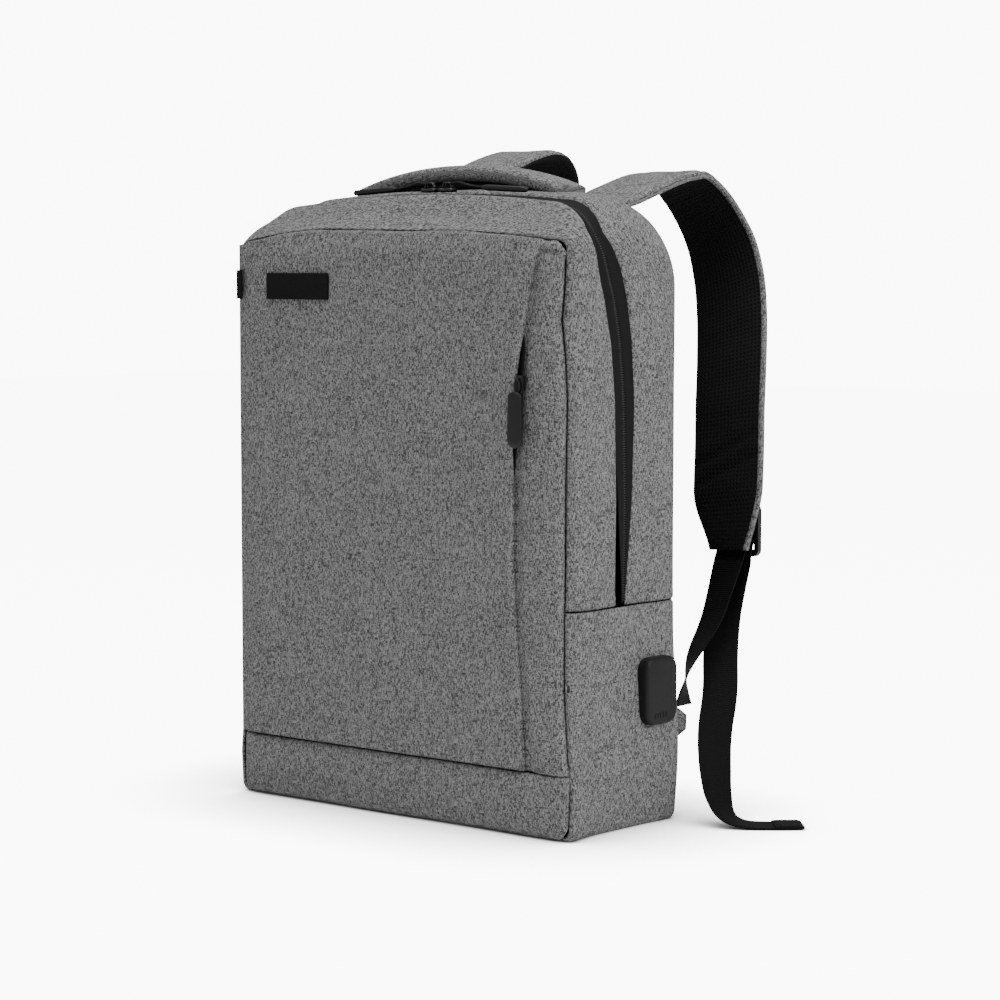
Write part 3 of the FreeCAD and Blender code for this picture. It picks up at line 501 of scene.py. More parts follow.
def bright_metal(name, tone):
    """Dark plated zip metal with rubbed edges."""
    f = Finish(name, Metallic=1.0, Roughness=0.3)
    at = f.place()
    rub = f.noise(at, (400.0, 400.0, 400.0), 3.0)
    f.set("Base Color", f.blend(rub, grey(tone * 0.7), grey(tone * 1.4)))
    f.set("Roughness", 0.2 + rub * 0.25)
    return f.material


def pale_floor(name):
    """A pale studio floor with a barely uneven surface. It glows for camera rays, and ambient
    occlusion dims that glow near the bag as a painted contact shadow.
    """
    f = Finish(name, Roughness=0.7, Specular_IOR_Level=0.1)
    cloud = f.noise(f.place(), (6.0, 6.0, 6.0), 2.0)
    f.set("Base Color", f.blend(cloud, grey(0.93), grey(0.95)))
    seen = f.add("ShaderNodeLightPath", {}, {}, "Is Camera Ray")
    # Painted contact shadow: ambient occlusion dims the floor's camera-ray glow near the bag.
    painted_contact_shadow = f.add("ShaderNodeAmbientOcclusion", {"samples": 8}, {"Distance": 0.12}, "AO")
    glow = f.add("ShaderNodeEmission", {}, {"Strength": seen * painted_contact_shadow.power(3.4) * WHITE_GLOW})
    both = f.add("ShaderNodeAddShader", {}, {0: Signal(f, f.shader.outputs[0]), 1: glow})
    output = next(n for n in f.tree.nodes if n.bl_idname == "ShaderNodeOutputMaterial")
    f.tree.links.new(both.socket, output.inputs["Surface"])
    return f.material


CLOTH = melange_cloth("grey_melange", 0.024, 0.262)
LINING = smooth_black("black_lining_cloth", 0.018, 0.75, 900.0)
TAPE = smooth_black("coated_zip_tape", 0.005, 0.55, 1400.0, gloss=0.12)
TEETH = smooth_black("black_zip_coil", 0.014, 0.32, 2200.0, coat=0.3)
METAL = bright_metal("dark_zip_metal", 0.05)
GRIP = smooth_black("soft_rubber_grip", 0.005, 0.36, 1200.0, coat=0.1)
CORD = black_web("pull_cord_braid", 0.020, 0.7, 260.0)
LABEL = black_web("plain_woven_label", 0.006, 0.8, 420.0)
MESH = air_mesh("black_air_mesh", 0.0055, 0.0030)
PORT = smooth_black("matt_port_plastic", 0.0065, 0.45, 1600.0, gloss=0.22)
RUBBER = smooth_black("lead_rubber_skin", 0.018, 0.55, 1000.0)
WEB = black_web("ribbed_webbing", 0.0026, 0.66, 190.0)
PLASTIC = smooth_black("gloss_buckle_plastic", 0.006, 0.26, 900.0, coat=0.2)


# ---- camera, floor and light ----------------------------------------------------------
def make_camera():
    """The view from the front right, a little above the middle of the bag."""
    data = bpy.data.cameras.new("camera")
    data.sensor_width, data.lens = 36.0, 100.1
    data.clip_start, data.clip_end = 0.05, 30.0
    camera = bpy.data.objects.new("camera", data)
    camera.location = (1.273, -1.521, 0.388)
    camera.rotation_euler = (math.radians(90 - 4.84), 0.0, math.radians(38.9))
    bpy.context.scene.collection.objects.link(camera)
    bpy.context.scene.camera = camera


def make_light(name, place, aim, size, power):
    """A soft square light aimed at a point."""
    data = bpy.data.lights.new(name, "AREA")
    data.shape, data.size, data.energy = "SQUARE", size, power
    light = bpy.data.objects.new(name, data)
    light.location = place
    towards = np.array(aim, float) - np.array(place, float)
    level = math.hypot(towards[0], towards[1])
    light.rotation_euler = (math.atan2(level, -towards[2]), 0.0,
                            math.atan2(towards[1], towards[0]) - math.pi / 2)
    bpy.context.scene.collection.objects.link(light)


WHITE_GLOW = 9.0             # how brightly the white studio itself is seen
SURROUND = 0.5               # how much light it sheds on the bag


def make_stage():
    """A wide pale floor, an even white surround and three soft lights."""
    reach = 6.0
    lines = np.linspace(-reach, reach, 9)
    x, y = np.meshgrid(lines, lines)
    grid = stack(x, y, np.zeros_like(x))
    floor = new_object("floor", grid, grid_faces(9, 9), grid[..., :2], [pale_floor("pale_floor")])
    world = bpy.data.worlds.new("white_surround")
    world.use_nodes = True
    tree = world.node_tree
    background = tree.nodes["Background"]
    background.inputs["Color"].default_value = (1.0, 1.0, 1.0, 1.0)
    path = tree.nodes.new("ShaderNodeLightPath")
    strength = tree.nodes.new("ShaderNodeMapRange")
    strength.inputs["To Min"].default_value = SURROUND
    strength.inputs["To Max"].default_value = WHITE_GLOW + 1.0
    tree.links.new(path.outputs["Is Camera Ray"], strength.inputs["Value"])
    tree.links.new(strength.outputs["Result"], background.inputs["Strength"])
    bpy.context.scene.world = world
    make_light("key_light", (1.9, 0.1, 1.5), (0.1, 0.0, 0.28), 1.5, 32.0)
    make_light("front_light", (-0.5, -1.5, 1.6), (0.0, 0.0, 0.33), 1.2, 4.4)
    make_light("top_light", (0.1, -0.2, 2.2), (0.0, 0.0, 0.3), 1.4, 33.0)


make_camera()
make_stage()


# ---- the loose webbing tails ----------------------------------------------------------
TAILS = {
    "right": (
        [(0.150, 0.143, 0.173), (0.150, 0.136, 0.157), (0.152, 0.124, 0.136),
         (0.1585, 0.1105, 0.111), (0.168, 0.098, 0.086), (0.174, 0.081, 0.060),
         (0.183, 0.069, 0.037), (0.191, 0.061, 0.019), (0.199, 0.058, 0.007),
         (0.210, 0.062, 0.0018), (0.223, 0.071, 0.0010), (0.237, 0.083, 0.0010)],
        [0, 6, 18, 32, 43, 53, 65, 80, 98, 115, 126, 129], 0.241),
    "left": (
        [(-0.150, 0.143, 0.173), (-0.150, 0.142, 0.157), (-0.151, 0.138, 0.133),
         (-0.153, 0.132, 0.106), (-0.156, 0.126, 0.078), (-0.160, 0.121, 0.050),
         (-0.165, 0.119, 0.026), (-0.172, 0.122, 0.009), (-0.183, 0.130, 0.0018),
         (-0.197, 0.141, 0.0010), (-0.212, 0.150, 0.0010)],
        [0, 0, 2, 5, 10, 18, 28, 38, 46, 50, 53], 0.218),
}
WEB_WIDTH = 0.025
WEB_THICK = 0.0015


def spline_points(name, route):
    """Points of the smooth spline that has a route's points as its control points."""
    curve = bpy.data.curves.new(name, "CURVE")
    curve.dimensions = "3D"
    spline = curve.splines.new("NURBS")
    spline.points.add(len(route) - 1)
    spline.points.foreach_set("co", [value for point in route for value in (*point, 1.0)])
    spline.order_u = 3
    spline.use_endpoint_u = True
    spline.resolution_u = 12
    carrier = bpy.data.objects.new(name, curve)
    bpy.context.scene.collection.objects.link(carrier)
    bpy.context.view_layer.update()
    mesh = bpy.data.meshes.new_from_object(carrier)
    points = np.array([vertex.co[:] for vertex in mesh.vertices])
    bpy.data.objects.remove(carrier)
    return points


def headings(route, turns, points):
    """The level direction of a flat cord's width at each point of its spline."""
    corners = runs(np.array(route)[:, None], 0)[:, 0]
    places = runs(points[:, None], 0)[:, 0]
    angle = np.radians(np.interp(places / places[-1], corners / corners[-1], turns))
    return stack(np.cos(angle), np.sin(angle), np.zeros_like(angle))


def make_tail(side, body):
    """Flat webbing from the buckle down to the floor, with a sewn double end."""
    route, turns, length = TAILS[side]
    points = spline_points("tail_line_" + side, route)
    points[:, 2] = np.maximum(points[:, 2], 0.0009)
    across = headings(route, turns, points)
    tail = swept("webbing_tail_" + side, points, across, lozenge(WEB_WIDTH, WEB_THICK, 6.0), [WEB])
    finish_piece(tail, body, "webbing", "tail_webbing_" + side)
    reach = points[-1] - points[-2]
    reach = reach * np.array([1, 1, 0])
    forward = reach / np.linalg.norm(reach)
    start = points[-1] * np.array([1, 1, 0]) + np.array([0, 0, 0.0017])
    places = np.linspace(-0.012, 0.0085, 12)[:, None]
    fold = np.concatenate([[0.5, 0.9], np.ones(8), [0.9, 0.45]])[:, None, None]
    outline = lozenge(WEB_WIDTH, 0.0031, 5.0) * np.concatenate([np.ones((12, 1, 1)), fold], axis=2)
    end = swept("webbing_end_" + side, start + forward * places, across[-1], outline, [WEB])
    finish_piece(end, body, "webbing", "tail_end_" + side)


for side, _ in SIDES:
    make_tail(side, "strap_" + side)


# ---- the bag's outside as a function of girth and depth ---------------------------------
def half_width(y):
    """Half the bag's width at a depth: full, less the round corners at front and back."""
    return HALF_WIDTH - fallback(y - FRONT, FRONT_ROUND) - fallback(BACK - y, BACK_ROUND)


def foot_height(y):
    """Height of the underside at a depth: the floor, rising round the front and back edges."""
    return fallback(y - FRONT, FOOT_ROUND) + fallback(BACK - y, FOOT_ROUND)


def top_height(y):
    """Height of the top at a depth: a ridge, a slope, a level stretch, a round rear edge."""
    rear = SIDE_TOP + np.sqrt(SHOULDER_ROUND ** 2 - np.clip(y - 0.0205, 0, SHOULDER_ROUND) ** 2)
    return np.where(y < 0.0205, along_table(TOP_LINE, y), rear)


def wrap(s, y):
    """Point on the bag's outside at a girth and a depth.

    From the foot: a quarter circle, the upright side with its upper part drawn down to the
    shoulder, a quarter circle of the shoulder's radius there, then the crowned top to the
    middle. The left half mirrors the right.
    """
    s, y = np.broadcast_arrays(s, y)
    sign = np.where(s <= HALF_GIRTH, 1.0, -1.0)
    near = np.where(s <= HALF_GIRTH, s, GIRTH - s)
    wide, foot = half_width(y), foot_height(y)
    grown = ease((y - FRONT_LOOP) / 0.036)
    bend = 0.008 + (SHOULDER_ROUND - 0.008) * grown
    crown = 0.004 * grown * ease((BACK - y) / 0.03) + 0.003 * bell(y, -0.022, 0.016)
    edge = top_height(y) - crown
    knee = foot + FOOT_ROUND
    turn = np.clip(near / FOOT_ARC, 0, 1) * math.pi / 2
    x_foot = wide - FOOT_ROUND + FOOT_ROUND * np.sin(turn)
    z_foot = foot + FOOT_ROUND * (1 - np.cos(turn))
    level = np.clip(FOOT_ROUND + near - FOOT_ARC, FOOT_ROUND, SIDE_TOP)
    low = knee + (level - FOOT_ROUND) / 0.088 * (0.1 - knee)
    high = 0.3 + (level - 0.3) / (SIDE_TOP - 0.3) * (edge - bend - 0.3)
    z_side = np.where(level < 0.1, low, np.where(level < 0.3, level, high))
    turn = np.clip((near - FOOT_ARC - SIDE_RUN) / SHOULDER_ARC, 0, 1) * math.pi / 2
    x_arc = wide - bend + bend * np.cos(turn)
    z_arc = edge - bend + bend * np.sin(turn)
    share = np.clip((near - FOOT_ARC - SIDE_RUN - SHOULDER_ARC) / TOP_RUN, 0, 1)
    x_top = (wide - bend) * (1 - share)
    z_top = edge + crown * (1 - (1 - share) ** 2)
    part = [near < FOOT_ARC, near < FOOT_ARC + SIDE_RUN, near < HALF_GIRTH - TOP_RUN]
    x = np.select(part, [x_foot, wide, x_arc], x_top)
    z = np.select(part, [z_foot, z_side, z_arc], z_top)
    return wander(stack(x * sign, y, z))


def climb(s):
    """Height up the side and round the shoulder at a girth."""
    near = np.where(s <= HALF_GIRTH, s, GIRTH - s)
    level = np.clip(FOOT_ROUND + near - FOOT_ARC, FOOT_ROUND, SIDE_TOP)
    turn = np.clip((near - FOOT_ARC - SIDE_RUN) / SHOULDER_ARC, 0, 1) * math.pi / 2
    return level + SHOULDER_ROUND * np.sin(turn)


def zip_depth(s):
    """Depth of the main zip's middle line at a girth."""
    return along_table(ZIP_LINE, climb(s))


def zip_spread(s):
    """How much further back the rear cloth stops: less low down, more below a shoulder."""
    return along_table(ZIP_SPREAD, climb(s))


def seam_depth(x):
    """Depth of the seam round the front: soft on the left and top, deep on the right."""
    return 0.0007 + 0.0026 * ease((x - 0.098) / 0.036)


def seam_reach(x):
    """How wide that seam's valley is each way: narrow on the left, puffy on the right."""
    return 0.0045 + 0.0040 * ease((x - 0.098) / 0.036)


def strip(s, front, rear, columns, bulge, seed):
    """Cloth on the bag's outside between two depths that change with the girth."""
    s = s[:, None]
    share = graded(0.0, 1.0, columns, 0.06, 5)[None, :]
    y = front + (rear - front) * share
    grid = wrap(s, y)
    hump = bulge * np.sin(math.pi * share) ** 0.7
    uneven = SLACK * waves(s, y, seed, 0.10) * np.sin(math.pi * share)
    return proud(grid, hump + uneven)


def make_sides():
    """The lower side panels, from the foot up to the side seam: the left mirrors the right."""
    s = graded(0.0, FOLD_GIRTH - 0.0004, 70, 0.006, 7)
    for seed, (side, sign) in enumerate(SIDES, 3):
        grid = strip(s, FRONT_LOOP, BACK_LOOP, 60, 0.0016, seed)
        low_rear = bell(grid[..., 2], 0.055, 0.055) * ease((grid[..., 1] + 0.03) / 0.07)
        away = runs(grid, 1)[:, -1:] - runs(grid, 1)
        grid = proud(grid, 0.0060 * low_rear * ease(away / 0.006))
        deep = np.where(grid[..., 2] < FOLD - 0.01, 0.0014, 0.0013)
        grid = rolled(grid, "lrt", deep)
        if sign == LEFT:
            grid = grid * np.array([-1, 1, 1])
        piece = cloth_piece("side_cloth_" + side, grid, [CLOTH, LINING], flip=sign == LEFT)
        finish_piece(piece, "bag_body", "grey_cloth", "side_panel_" + side)


def make_gussets():
    """The cloth either side of the zip, from one side seam over the top to the other."""
    s = graded(FOLD_GIRTH + 0.0004, GIRTH - FOLD_GIRTH - 0.0004, 330, 0.006, 7)
    middle = zip_depth(s)[:, None]
    grid = strip(s, FRONT_LOOP, middle - ZIP_HALF, 44, 0.0012, 11)
    close = np.minimum(s - s[0], s[-1] - s)[:, None]
    foot = np.where(close < 0.008, 0.0013, 0.0028)
    front_edge = runs(grid, 1) < 0.012
    deep = np.where(front_edge, np.minimum(seam_depth(grid[..., 0]), foot + 0.001), foot)
    reach = np.where(front_edge, seam_reach(grid[..., 0]), 0.0045)
    piece = cloth_piece("gusset_cloth", rolled(grid, "lrbt", deep, reach), [CLOTH, LINING])
    finish_piece(piece, "front_flap", "grey_cloth", "front_gusset")
    grid = strip(s, middle + ZIP_HALF + zip_spread(s)[:, None], BACK_LOOP, 60, 0.0010, 12)
    deep = np.broadcast_to(foot, grid.shape[:2])
    piece = cloth_piece("rear_cloth", rolled(grid, "lrbt", deep), [CLOTH, LINING])
    finish_piece(piece, "bag_body", "grey_cloth", "rear_gusset")


def make_main_zip():
    """Coated tapes that dip to a slit between them, and the coil that shows in it."""
    s = np.linspace(FOLD_GIRTH + 0.001, GIRTH - FOLD_GIRTH - 0.001, 420)
    middle = zip_depth(s)[:, None]
    share = np.linspace(0, 1, 12)[None, :]
    for name, sign, body, node in (("zip_tape_on_flap", -1, "front_flap", "zip_tape_front"),
                                   ("zip_tape_on_bag", 1, "bag_body", "zip_tape_rear")):
        reach = ZIP_HALF + 0.0022 + zip_spread(s)[:, None]
        first = 0.0006 if sign < 0 else -0.0024
        away = first + (reach - first) * (share if sign > 0 else share[:, ::-1])
        grid = wrap(s[:, None], middle + sign * away)
        sunk = 0.0010 + 0.0011 * bell(away, 0.0, 0.0013) + 0.0014 * ease((0.0010 - away) / 0.0014)
        piece = cloth_piece(name, proud(grid, -sunk), [TAPE], 0.0008)
        finish_piece(piece, body, "zip_tape", node)
    pitch = 0.0017
    places = np.arange(FOLD_GIRTH + 0.004, GIRTH - FOLD_GIRTH - 0.004, pitch)
    line = wrap(places[:, None], zip_depth(places)[:, None] + np.array([[-0.001, 0.0, 0.001]]))
    out = facing(line)[:, 1]
    centre = line[:, 1] - out * 0.0019
    forward = unit(np.gradient(centre, axis=0))
    across = np.cross(out, forward)
    turn = np.linspace(0, math.tau, 6, endpoint=False)
    ring = np.stack([np.cos(turn), np.sin(turn)], axis=-1) * np.array([0.00055, 0.0007])
    ends = np.array([-0.0016, 0.0016])
    points = (centre[:, None, None] + across[:, None, None] * ends[None, :, None, None]
              + forward[:, None, None] * ring[None, None, :, :1]
              + out[:, None, None] * ring[None, None, :, 1:])
    faces = np.array([[k, (k + 1) % 6, (k + 1) % 6 + 6, k + 6] for k in range(6)])
    tooth = np.arange(len(places))[:, None, None] * 12
    quads = (faces[None] + tooth).reshape(-1, 4).tolist()
    caps = np.array([[5, 4, 3, 2, 1, 0], [6, 7, 8, 9, 10, 11]])
    hexes = (caps[None] + tooth).reshape(-1, 6).tolist()
    chart = points[..., [0, 2]]
    teeth = new_object("zip_coil", points, quads + hexes, chart, [TEETH])
    finish_piece(teeth, "bag_body", "zip_teeth", "zip_chain", "zip_end_stops")


make_sides()
make_gussets()
make_main_zip()


# ---- front, back and base -------------------------------------------------------------
def cap(x, z, wide, low, high, low_round, high_round):
    """Level places in a rectangle moved so that its corners are round.

    Within a corner's radius of both edges, each distance is multiplied by the root of one
    less half the other's square, which turns the square into a quarter disc.
    """
    radius = np.where(z > (low + high) / 2, high_round, low_round)
    over_x = np.clip(np.abs(x) - (wide - radius), 0, None) / radius
    over_z = np.clip(np.abs(z - (low + high) / 2) - ((high - low) / 2 - radius), 0, None) / radius
    new_x = np.abs(x) - radius * over_x * (1 - np.sqrt(np.clip(1 - over_z ** 2 / 2, 0, 1)))
    new_z = np.abs(z - (low + high) / 2) - radius * over_z * (
        1 - np.sqrt(np.clip(1 - over_x ** 2 / 2, 0, 1)))
    return np.sign(x) * new_x, (low + high) / 2 + np.sign(z - (low + high) / 2) * new_z


def front_grid(x, z):
    """The front face: its round edges fall back by the largest of the three falls."""
    high = 0.4035
    ridge = along_table([(0.0, 0.0), (0.396, 0.0), (0.4008, 0.0010), (high, 0.0028)], z)
    side = fallback(HALF_WIDTH - np.abs(x), FRONT_ROUND)
    foot = fallback(z, FOOT_ROUND)
    fall = (side ** 8 + ridge ** 8 + foot ** 8) ** 0.125
    wide = float(half_width(np.array(FRONT_LOOP)))
    low = float(foot_height(np.array(FRONT_LOOP)))
    new_x, new_z = cap(x, z, wide, low, high, 0.010, 0.008)
    return wander(stack(new_x, FRONT + fall, new_z))


def make_front():
    """The front cloth above its base band, and the band."""
    wide = float(half_width(np.array(FRONT_LOOP)))
    low = float(foot_height(np.array(FRONT_LOOP)))
    x = graded(-wide, wide, 120, 0.008, 8)[None, :]
    z = graded(BAND, 0.4035, 150, 0.008, 8)[:, None]
    grid = front_grid(x, z)
    tuck = bell(z, 0.3945, 0.0018) * ease((x - 0.124) / 0.006) * ease((wide - x) / 0.004)
    strip_hump = 0.0016 * bell(x, 0.134, 0.010) - 0.0036 * tuck
    uneven = 0.0004 * waves(x, z, 21, 0.09) * ease((wide - np.abs(x)) / 0.02)
    valley = 0.0024 * bell(x, along_table(PANEL_EDGE, z) + 0.0015, 0.0035)
    grid = proud(grid, strip_hump + uneven - valley)
    deep = np.where(z < BAND + 0.010, 0.0018, seam_depth(grid[..., 0]))
    reach = seam_reach(grid[..., 0])
    piece = cloth_piece("front_cloth", rolled(grid, "lrbt", deep, reach), [CLOTH, LINING])
    bent_piece(piece, ("bag_body", "front_flap"), (0, PANEL_FACE, FOLD - 0.006),
               (0, PANEL_FACE, FOLD + 0.006), "grey_cloth", "front_panel_upper",
               "front_panel_lower")
    z = graded(low, BAND, 26, 0.006, 7)[:, None]
    grid = front_grid(x, z)
    share = (z - low) / (BAND - low)
    uneven = 0.0004 * waves(x, z, 22, 0.12)
    grid = proud(grid, 0.0030 * np.sin(math.pi * share) * ease((wide - np.abs(x)) / 0.02) + uneven)
    deep = np.where(z > BAND - 0.010, 0.0018, seam_depth(grid[..., 0]))
    piece = cloth_piece("base_band_cloth", rolled(grid, "lrt", deep), [CLOTH, LINING])
    finish_piece(piece, "bag_body", "grey_cloth", "front_base_band")


def make_pocket_panel():
    """The panel over the front pocket: smooth to the left and top, its right edge free."""
    z = graded(BAND + 0.0004, 0.4015, 130, 0.006, 7)[:, None]
    share = graded(0.0, 1.0, 90, 0.035, 9)[None, :]
    edge = along_table(PANEL_EDGE, z)
    left = -0.1485
    x = left + (edge - left) * share
    from_left = ease((x - left) / 0.018)
    from_top = ease((0.4015 - z) / 0.012)
    face = FRONT + 0.0006 + (PANEL_FACE - FRONT - 0.0006) * np.minimum(from_left, from_top)
    open_stretch = ease((z - 0.225) / 0.05) * ease((0.352 - z) / 0.03)
    lift = 0.0032 * open_stretch * ease((share - 0.80) / 0.2) ** 2
    belly = 0.0016 * np.sin(math.pi * share) * np.sin(math.pi * (z - BAND) / 0.356)
    uneven = 0.0004 * waves(x, z, 31, 0.11) * from_left
    grid = wander(stack(x, face - lift - belly - uneven, z + 0 * x))
    grid = rolled(grid, "rb", 0.0024, 0.0026)
    piece = cloth_piece("pocket_panel_cloth", grid, [CLOTH, LINING], 0.0011)
    bent_piece(piece, ("bag_body", "front_flap"), (0, PANEL_FACE, FOLD - 0.006),
               (0, PANEL_FACE, FOLD + 0.006), "grey_cloth", "pocket_panel_upper",
               "pocket_panel_lower")


def make_back_and_base():
    """The back cloth, and the base cloth that closes the underside."""
    wide = float(half_width(np.array(BACK_LOOP)))
    low, high = float(foot_height(np.array(BACK_LOOP))), float(top_height(np.array(BACK_LOOP)))
    x = graded(-wide, wide, 60, 0.010, 8)[None, :]
    z = graded(low, high, 80, 0.012, 8)[:, None]
    side = fallback(HALF_WIDTH - np.abs(x), BACK_ROUND)
    top = np.where(z > SIDE_TOP, 0.0045 * ((z - SIDE_TOP) / (high - SIDE_TOP)) ** 2, 0)
    foot = fallback(z, FOOT_ROUND)
    fall = (side ** 8 + top ** 8 + foot ** 8) ** 0.125
    new_x, new_z = cap(x, z, wide, low, high, 0.012, 0.040)
    grid = rolled(wander(stack(new_x, BACK - fall, new_z))[:, ::-1], "lrt")
    piece = cloth_piece("back_cloth", grid, [CLOTH, LINING])
    finish_piece(piece, "bag_body", "grey_cloth", "back_panel")
    y = graded(FRONT_LOOP, BACK_LOOP, 40, 0.006, 6)[:, None]
    share = graded(-1.0, 1.0, 40, 0.05, 5)[None, :]
    x = share * (half_width(y) - FOOT_ROUND + 0.001)
    grid = stack(x, y + 0 * x, foot_height(y) + 0.0004 + 0 * x)[:, ::-1]
    piece = cloth_piece("base_cloth", grid, [CLOTH, LINING])
    finish_piece(piece, "bag_body", "grey_cloth", "base_panel")


make_front()
make_pocket_panel()
make_back_and_base()


# ---- back padding, handle -------------------------------------------------------------
def make_back_pad():
    """Mesh padding: a round-edged slab with a sunk channel and quilted rows."""
    half, low, high = 0.134, 0.001, 0.392
    x = graded(-half, half, 90, 0.014, 14)[None, :]
    z = graded(low, high, 130, 0.014, 14)[:, None]
    new_x, new_z = cap(x, z, half, low, high, 0.024, 0.026)
    new_x = new_x * (1 + 0.10 * ease((0.100 - z) / 0.03))
    away = np.minimum(half - np.abs(x), np.minimum(z - low, high - z))
    rise = np.sqrt(np.clip(1 - (1 - np.clip(away / 0.013, 0, 1)) ** 2, 0, 1))
    channel = 1 - 0.5 * bell(x, 0.0, 0.013) ** 2
    rows = 1 - 0.20 * sum(bell(z, place, 0.0045) for place in (0.10, 0.20, 0.30)) * ease(
        (np.abs(x) - 0.014) / 0.01)
    swell = 1 + 0.02 * waves(x, z, 41, 0.08)
    y = BACK + 0.0002 + 0.0122 * np.clip(rise * channel * rows * swell, 0, 1.04)
    grid = stack(new_x, y, new_z)[:, ::-1]
    piece = cloth_piece("back_padding", grid, [MESH], 0.0012)
    finish_piece(piece, "bag_body", "air_mesh", "back_pad")


def make_handle():
    """A padded arch: a soft oval carried along an arc over the top and into the cloth."""
    count = 61
    x = np.linspace(-0.0935, 0.0935, count)
    share = x / 0.0935
    rise = 0.4526 - 0.0146 * np.abs(share) ** 2.1
    path = stack(x, np.full(count, 0.0215), rise)
    thick = 0.0122 - 0.0022 * np.abs(share) ** 4
    wide = 0.0330 + 0.0015 * np.abs(share) ** 3
    outline = lozenge(1.0, 1.0, 3.2, 36) * stack(wide, thick)[:, None, :]
    piece = swept("handle_padding", path, (0, -1, 0), outline, [CLOTH], 1)
    finish_piece(piece, "bag_body", "grey_cloth", "top_handle")
    # A guessed webbing core under the padding. Its black also stands in for the shade under the
    # handle, so it is painted shade.
    core_and_painted_shade = swept("handle_core_and_painted_shade", path[4:-4] - np.array([0, 0, 0.0088]), (0, -1, 0),
                 lozenge(0.0240, 0.0060, 4.0, 20), [TAPE])
    finish_piece(core_and_painted_shade, "bag_body", "webbing")


make_back_pad()
make_handle()


# ---- shoulder straps ------------------------------------------------------------------
STRAPS = {
    "right": [(70, 50, 427), (70, 62, 429), (72, 84, 433), (74, 106, 440), (76, 127, 447),
              (79, 147, 452), (82, 163, 451), (87, 176, 440), (94, 186, 423), (102, 191, 402),
              (111, 188, 378), (120, 179, 352), (129, 166, 320), (136, 154, 286),
              (141, 146, 254), (145, 139, 224), (148, 136, 200), (149, 135, 183)],
    "left": [(-70, 50, 427), (-70, 62, 429), (-70, 82, 437), (-70, 106, 449), (-70, 130, 460),
             (-70, 154, 468), (-70, 176, 472), (-71, 194, 468), (-75, 208, 455),
             (-82, 216, 434), (-92, 217, 406), (-104, 207, 370), (-116, 190, 332),
             (-127, 171, 296), (-136, 154, 260), (-144, 140, 226), (-148, 136, 200),
             (-149, 135, 183)],
}
STRAP_WIDE, STRAP_TIP = 0.060, 0.034


def make_strap(side):
    """One strap: padded cloth outside, air mesh towards the wearer, and their edge seam."""
    points = np.array(STRAPS[side]) * MM
    path = smooth_line(points, 170)
    length = runs(path[:, None], 0)[:, 0]
    left_over = length[-1] - length
    width = STRAP_TIP + (STRAP_WIDE - STRAP_TIP) * ease(left_over / 0.045) ** 0.7
    count = 31
    share = np.linspace(-1, 1, count)
    dome = 1 - np.abs(share) ** 8
    across_at = share[None] * width[:, None] / 2
    slack = waves(across_at, length[:, None], 51 + len(side), 0.05) * 0.0004
    bend = np.gradient(unit(np.gradient(path, axis=0)), length, axis=0)
    tight = np.clip(np.linalg.norm(bend, axis=1) * 0.02, 0, 1)[:, None]
    wrinkle = 0.0006 * tight * np.sin(length[:, None] / 0.0075 * math.tau + share[None] * 1.5)
    creases = sum(bell(left_over[:, None] - share[None] * 0.012, place, 0.003)
                  for place in (0.058, 0.074)) * 0.0016
    rims = []
    for sign, thick, extra in ((-1, 0.0034, wrinkle), (1, 0.0036, wrinkle - creases)):
        height = sign * (thick * dome[None] ** 0.5 + extra * dome + slack * dome)
        outer = np.stack([across_at, np.broadcast_to(height, across_at.shape)], axis=-1)
        inner = np.stack([across_at * 0.985, np.full(across_at.shape, -sign * 0.0002)], axis=-1)
        rims.append(np.concatenate([outer, inner[:, ::-1]], axis=1))
    pads = []
    for name, rim, material in (("strap_cloth_", rims[0], CLOTH), ("strap_mesh_", rims[1], MESH)):
        ring = rim if material is CLOTH else rim[:, ::-1]
        pads.append(swept(name + side, path, (1, 0, 0), ring, [material]))
    bodies = ("bag_body", "strap_" + side)
    x = points[0][0]
    ends = (x, 0.060, 0.429), (x, 0.070, 0.431)
    bent_piece(pads[0], bodies, *ends, "grey_cloth", "strap_pad_" + side, "strap_yoke_" + side)
    bent_piece(pads[1], bodies, *ends, "air_mesh", "strap_lining_" + side)
    make_binding(side, path, width, bodies, ends)


def make_binding(side, path, width, bodies, ends):
    """A narrow cloth margin along the strap's outer edge."""
    forward = unit(np.gradient(path, axis=0))
    across = np.array([1.0, 0, 0]) - forward * forward[:, :1]
    across = unit(across)
    out = np.cross(forward, across)
    wide = 0.0042
    line = path + across * (dict(SIDES)[side] * (width[:, None] / 2 - wide * 0.42)) + out * 0.0016
    piece = swept("strap_margin_" + side, line, (1, 0, 0), lozenge(wide, 0.0034, 3.0, 14), [CLOTH])
    bent_piece(piece, bodies, *ends, "grey_cloth")


for side, _ in SIDES:
    make_strap(side)


# ---- webbing back to the bag, loops and corner tabs -------------------------------------
RUN_ROUTE = [(150, 133, 176), (150.5, 122, 155), (152, 109, 134), (151.5, 88, 113),
             (149.5, 78.5, 93), (149.5, 78, 77)]
RUN_TURN = [0, -12, -22, -38, -60, -82]


def make_run(side, sign):
    """Webbing from the buckle's lower bar back to the corner tab."""
    route = np.array(RUN_ROUTE) * MM * np.array([sign, 1, 1])
    turns = [turn if sign > 0 else 180 - turn for turn in RUN_TURN]
    points = spline_points("run_line_" + side, route.tolist())
    across = headings(route, turns, points)
    piece = swept("running_webbing_" + side, points, across, lozenge(WEB_WIDTH, WEB_THICK, 6.0),
                  [WEB])
    bent_piece(piece, ("bag_body", "strap_" + side), (sign * 0.1495, 0.078, 0.085),
               (sign * 0.150, 0.133, 0.172), "webbing", "strap_run_" + side)


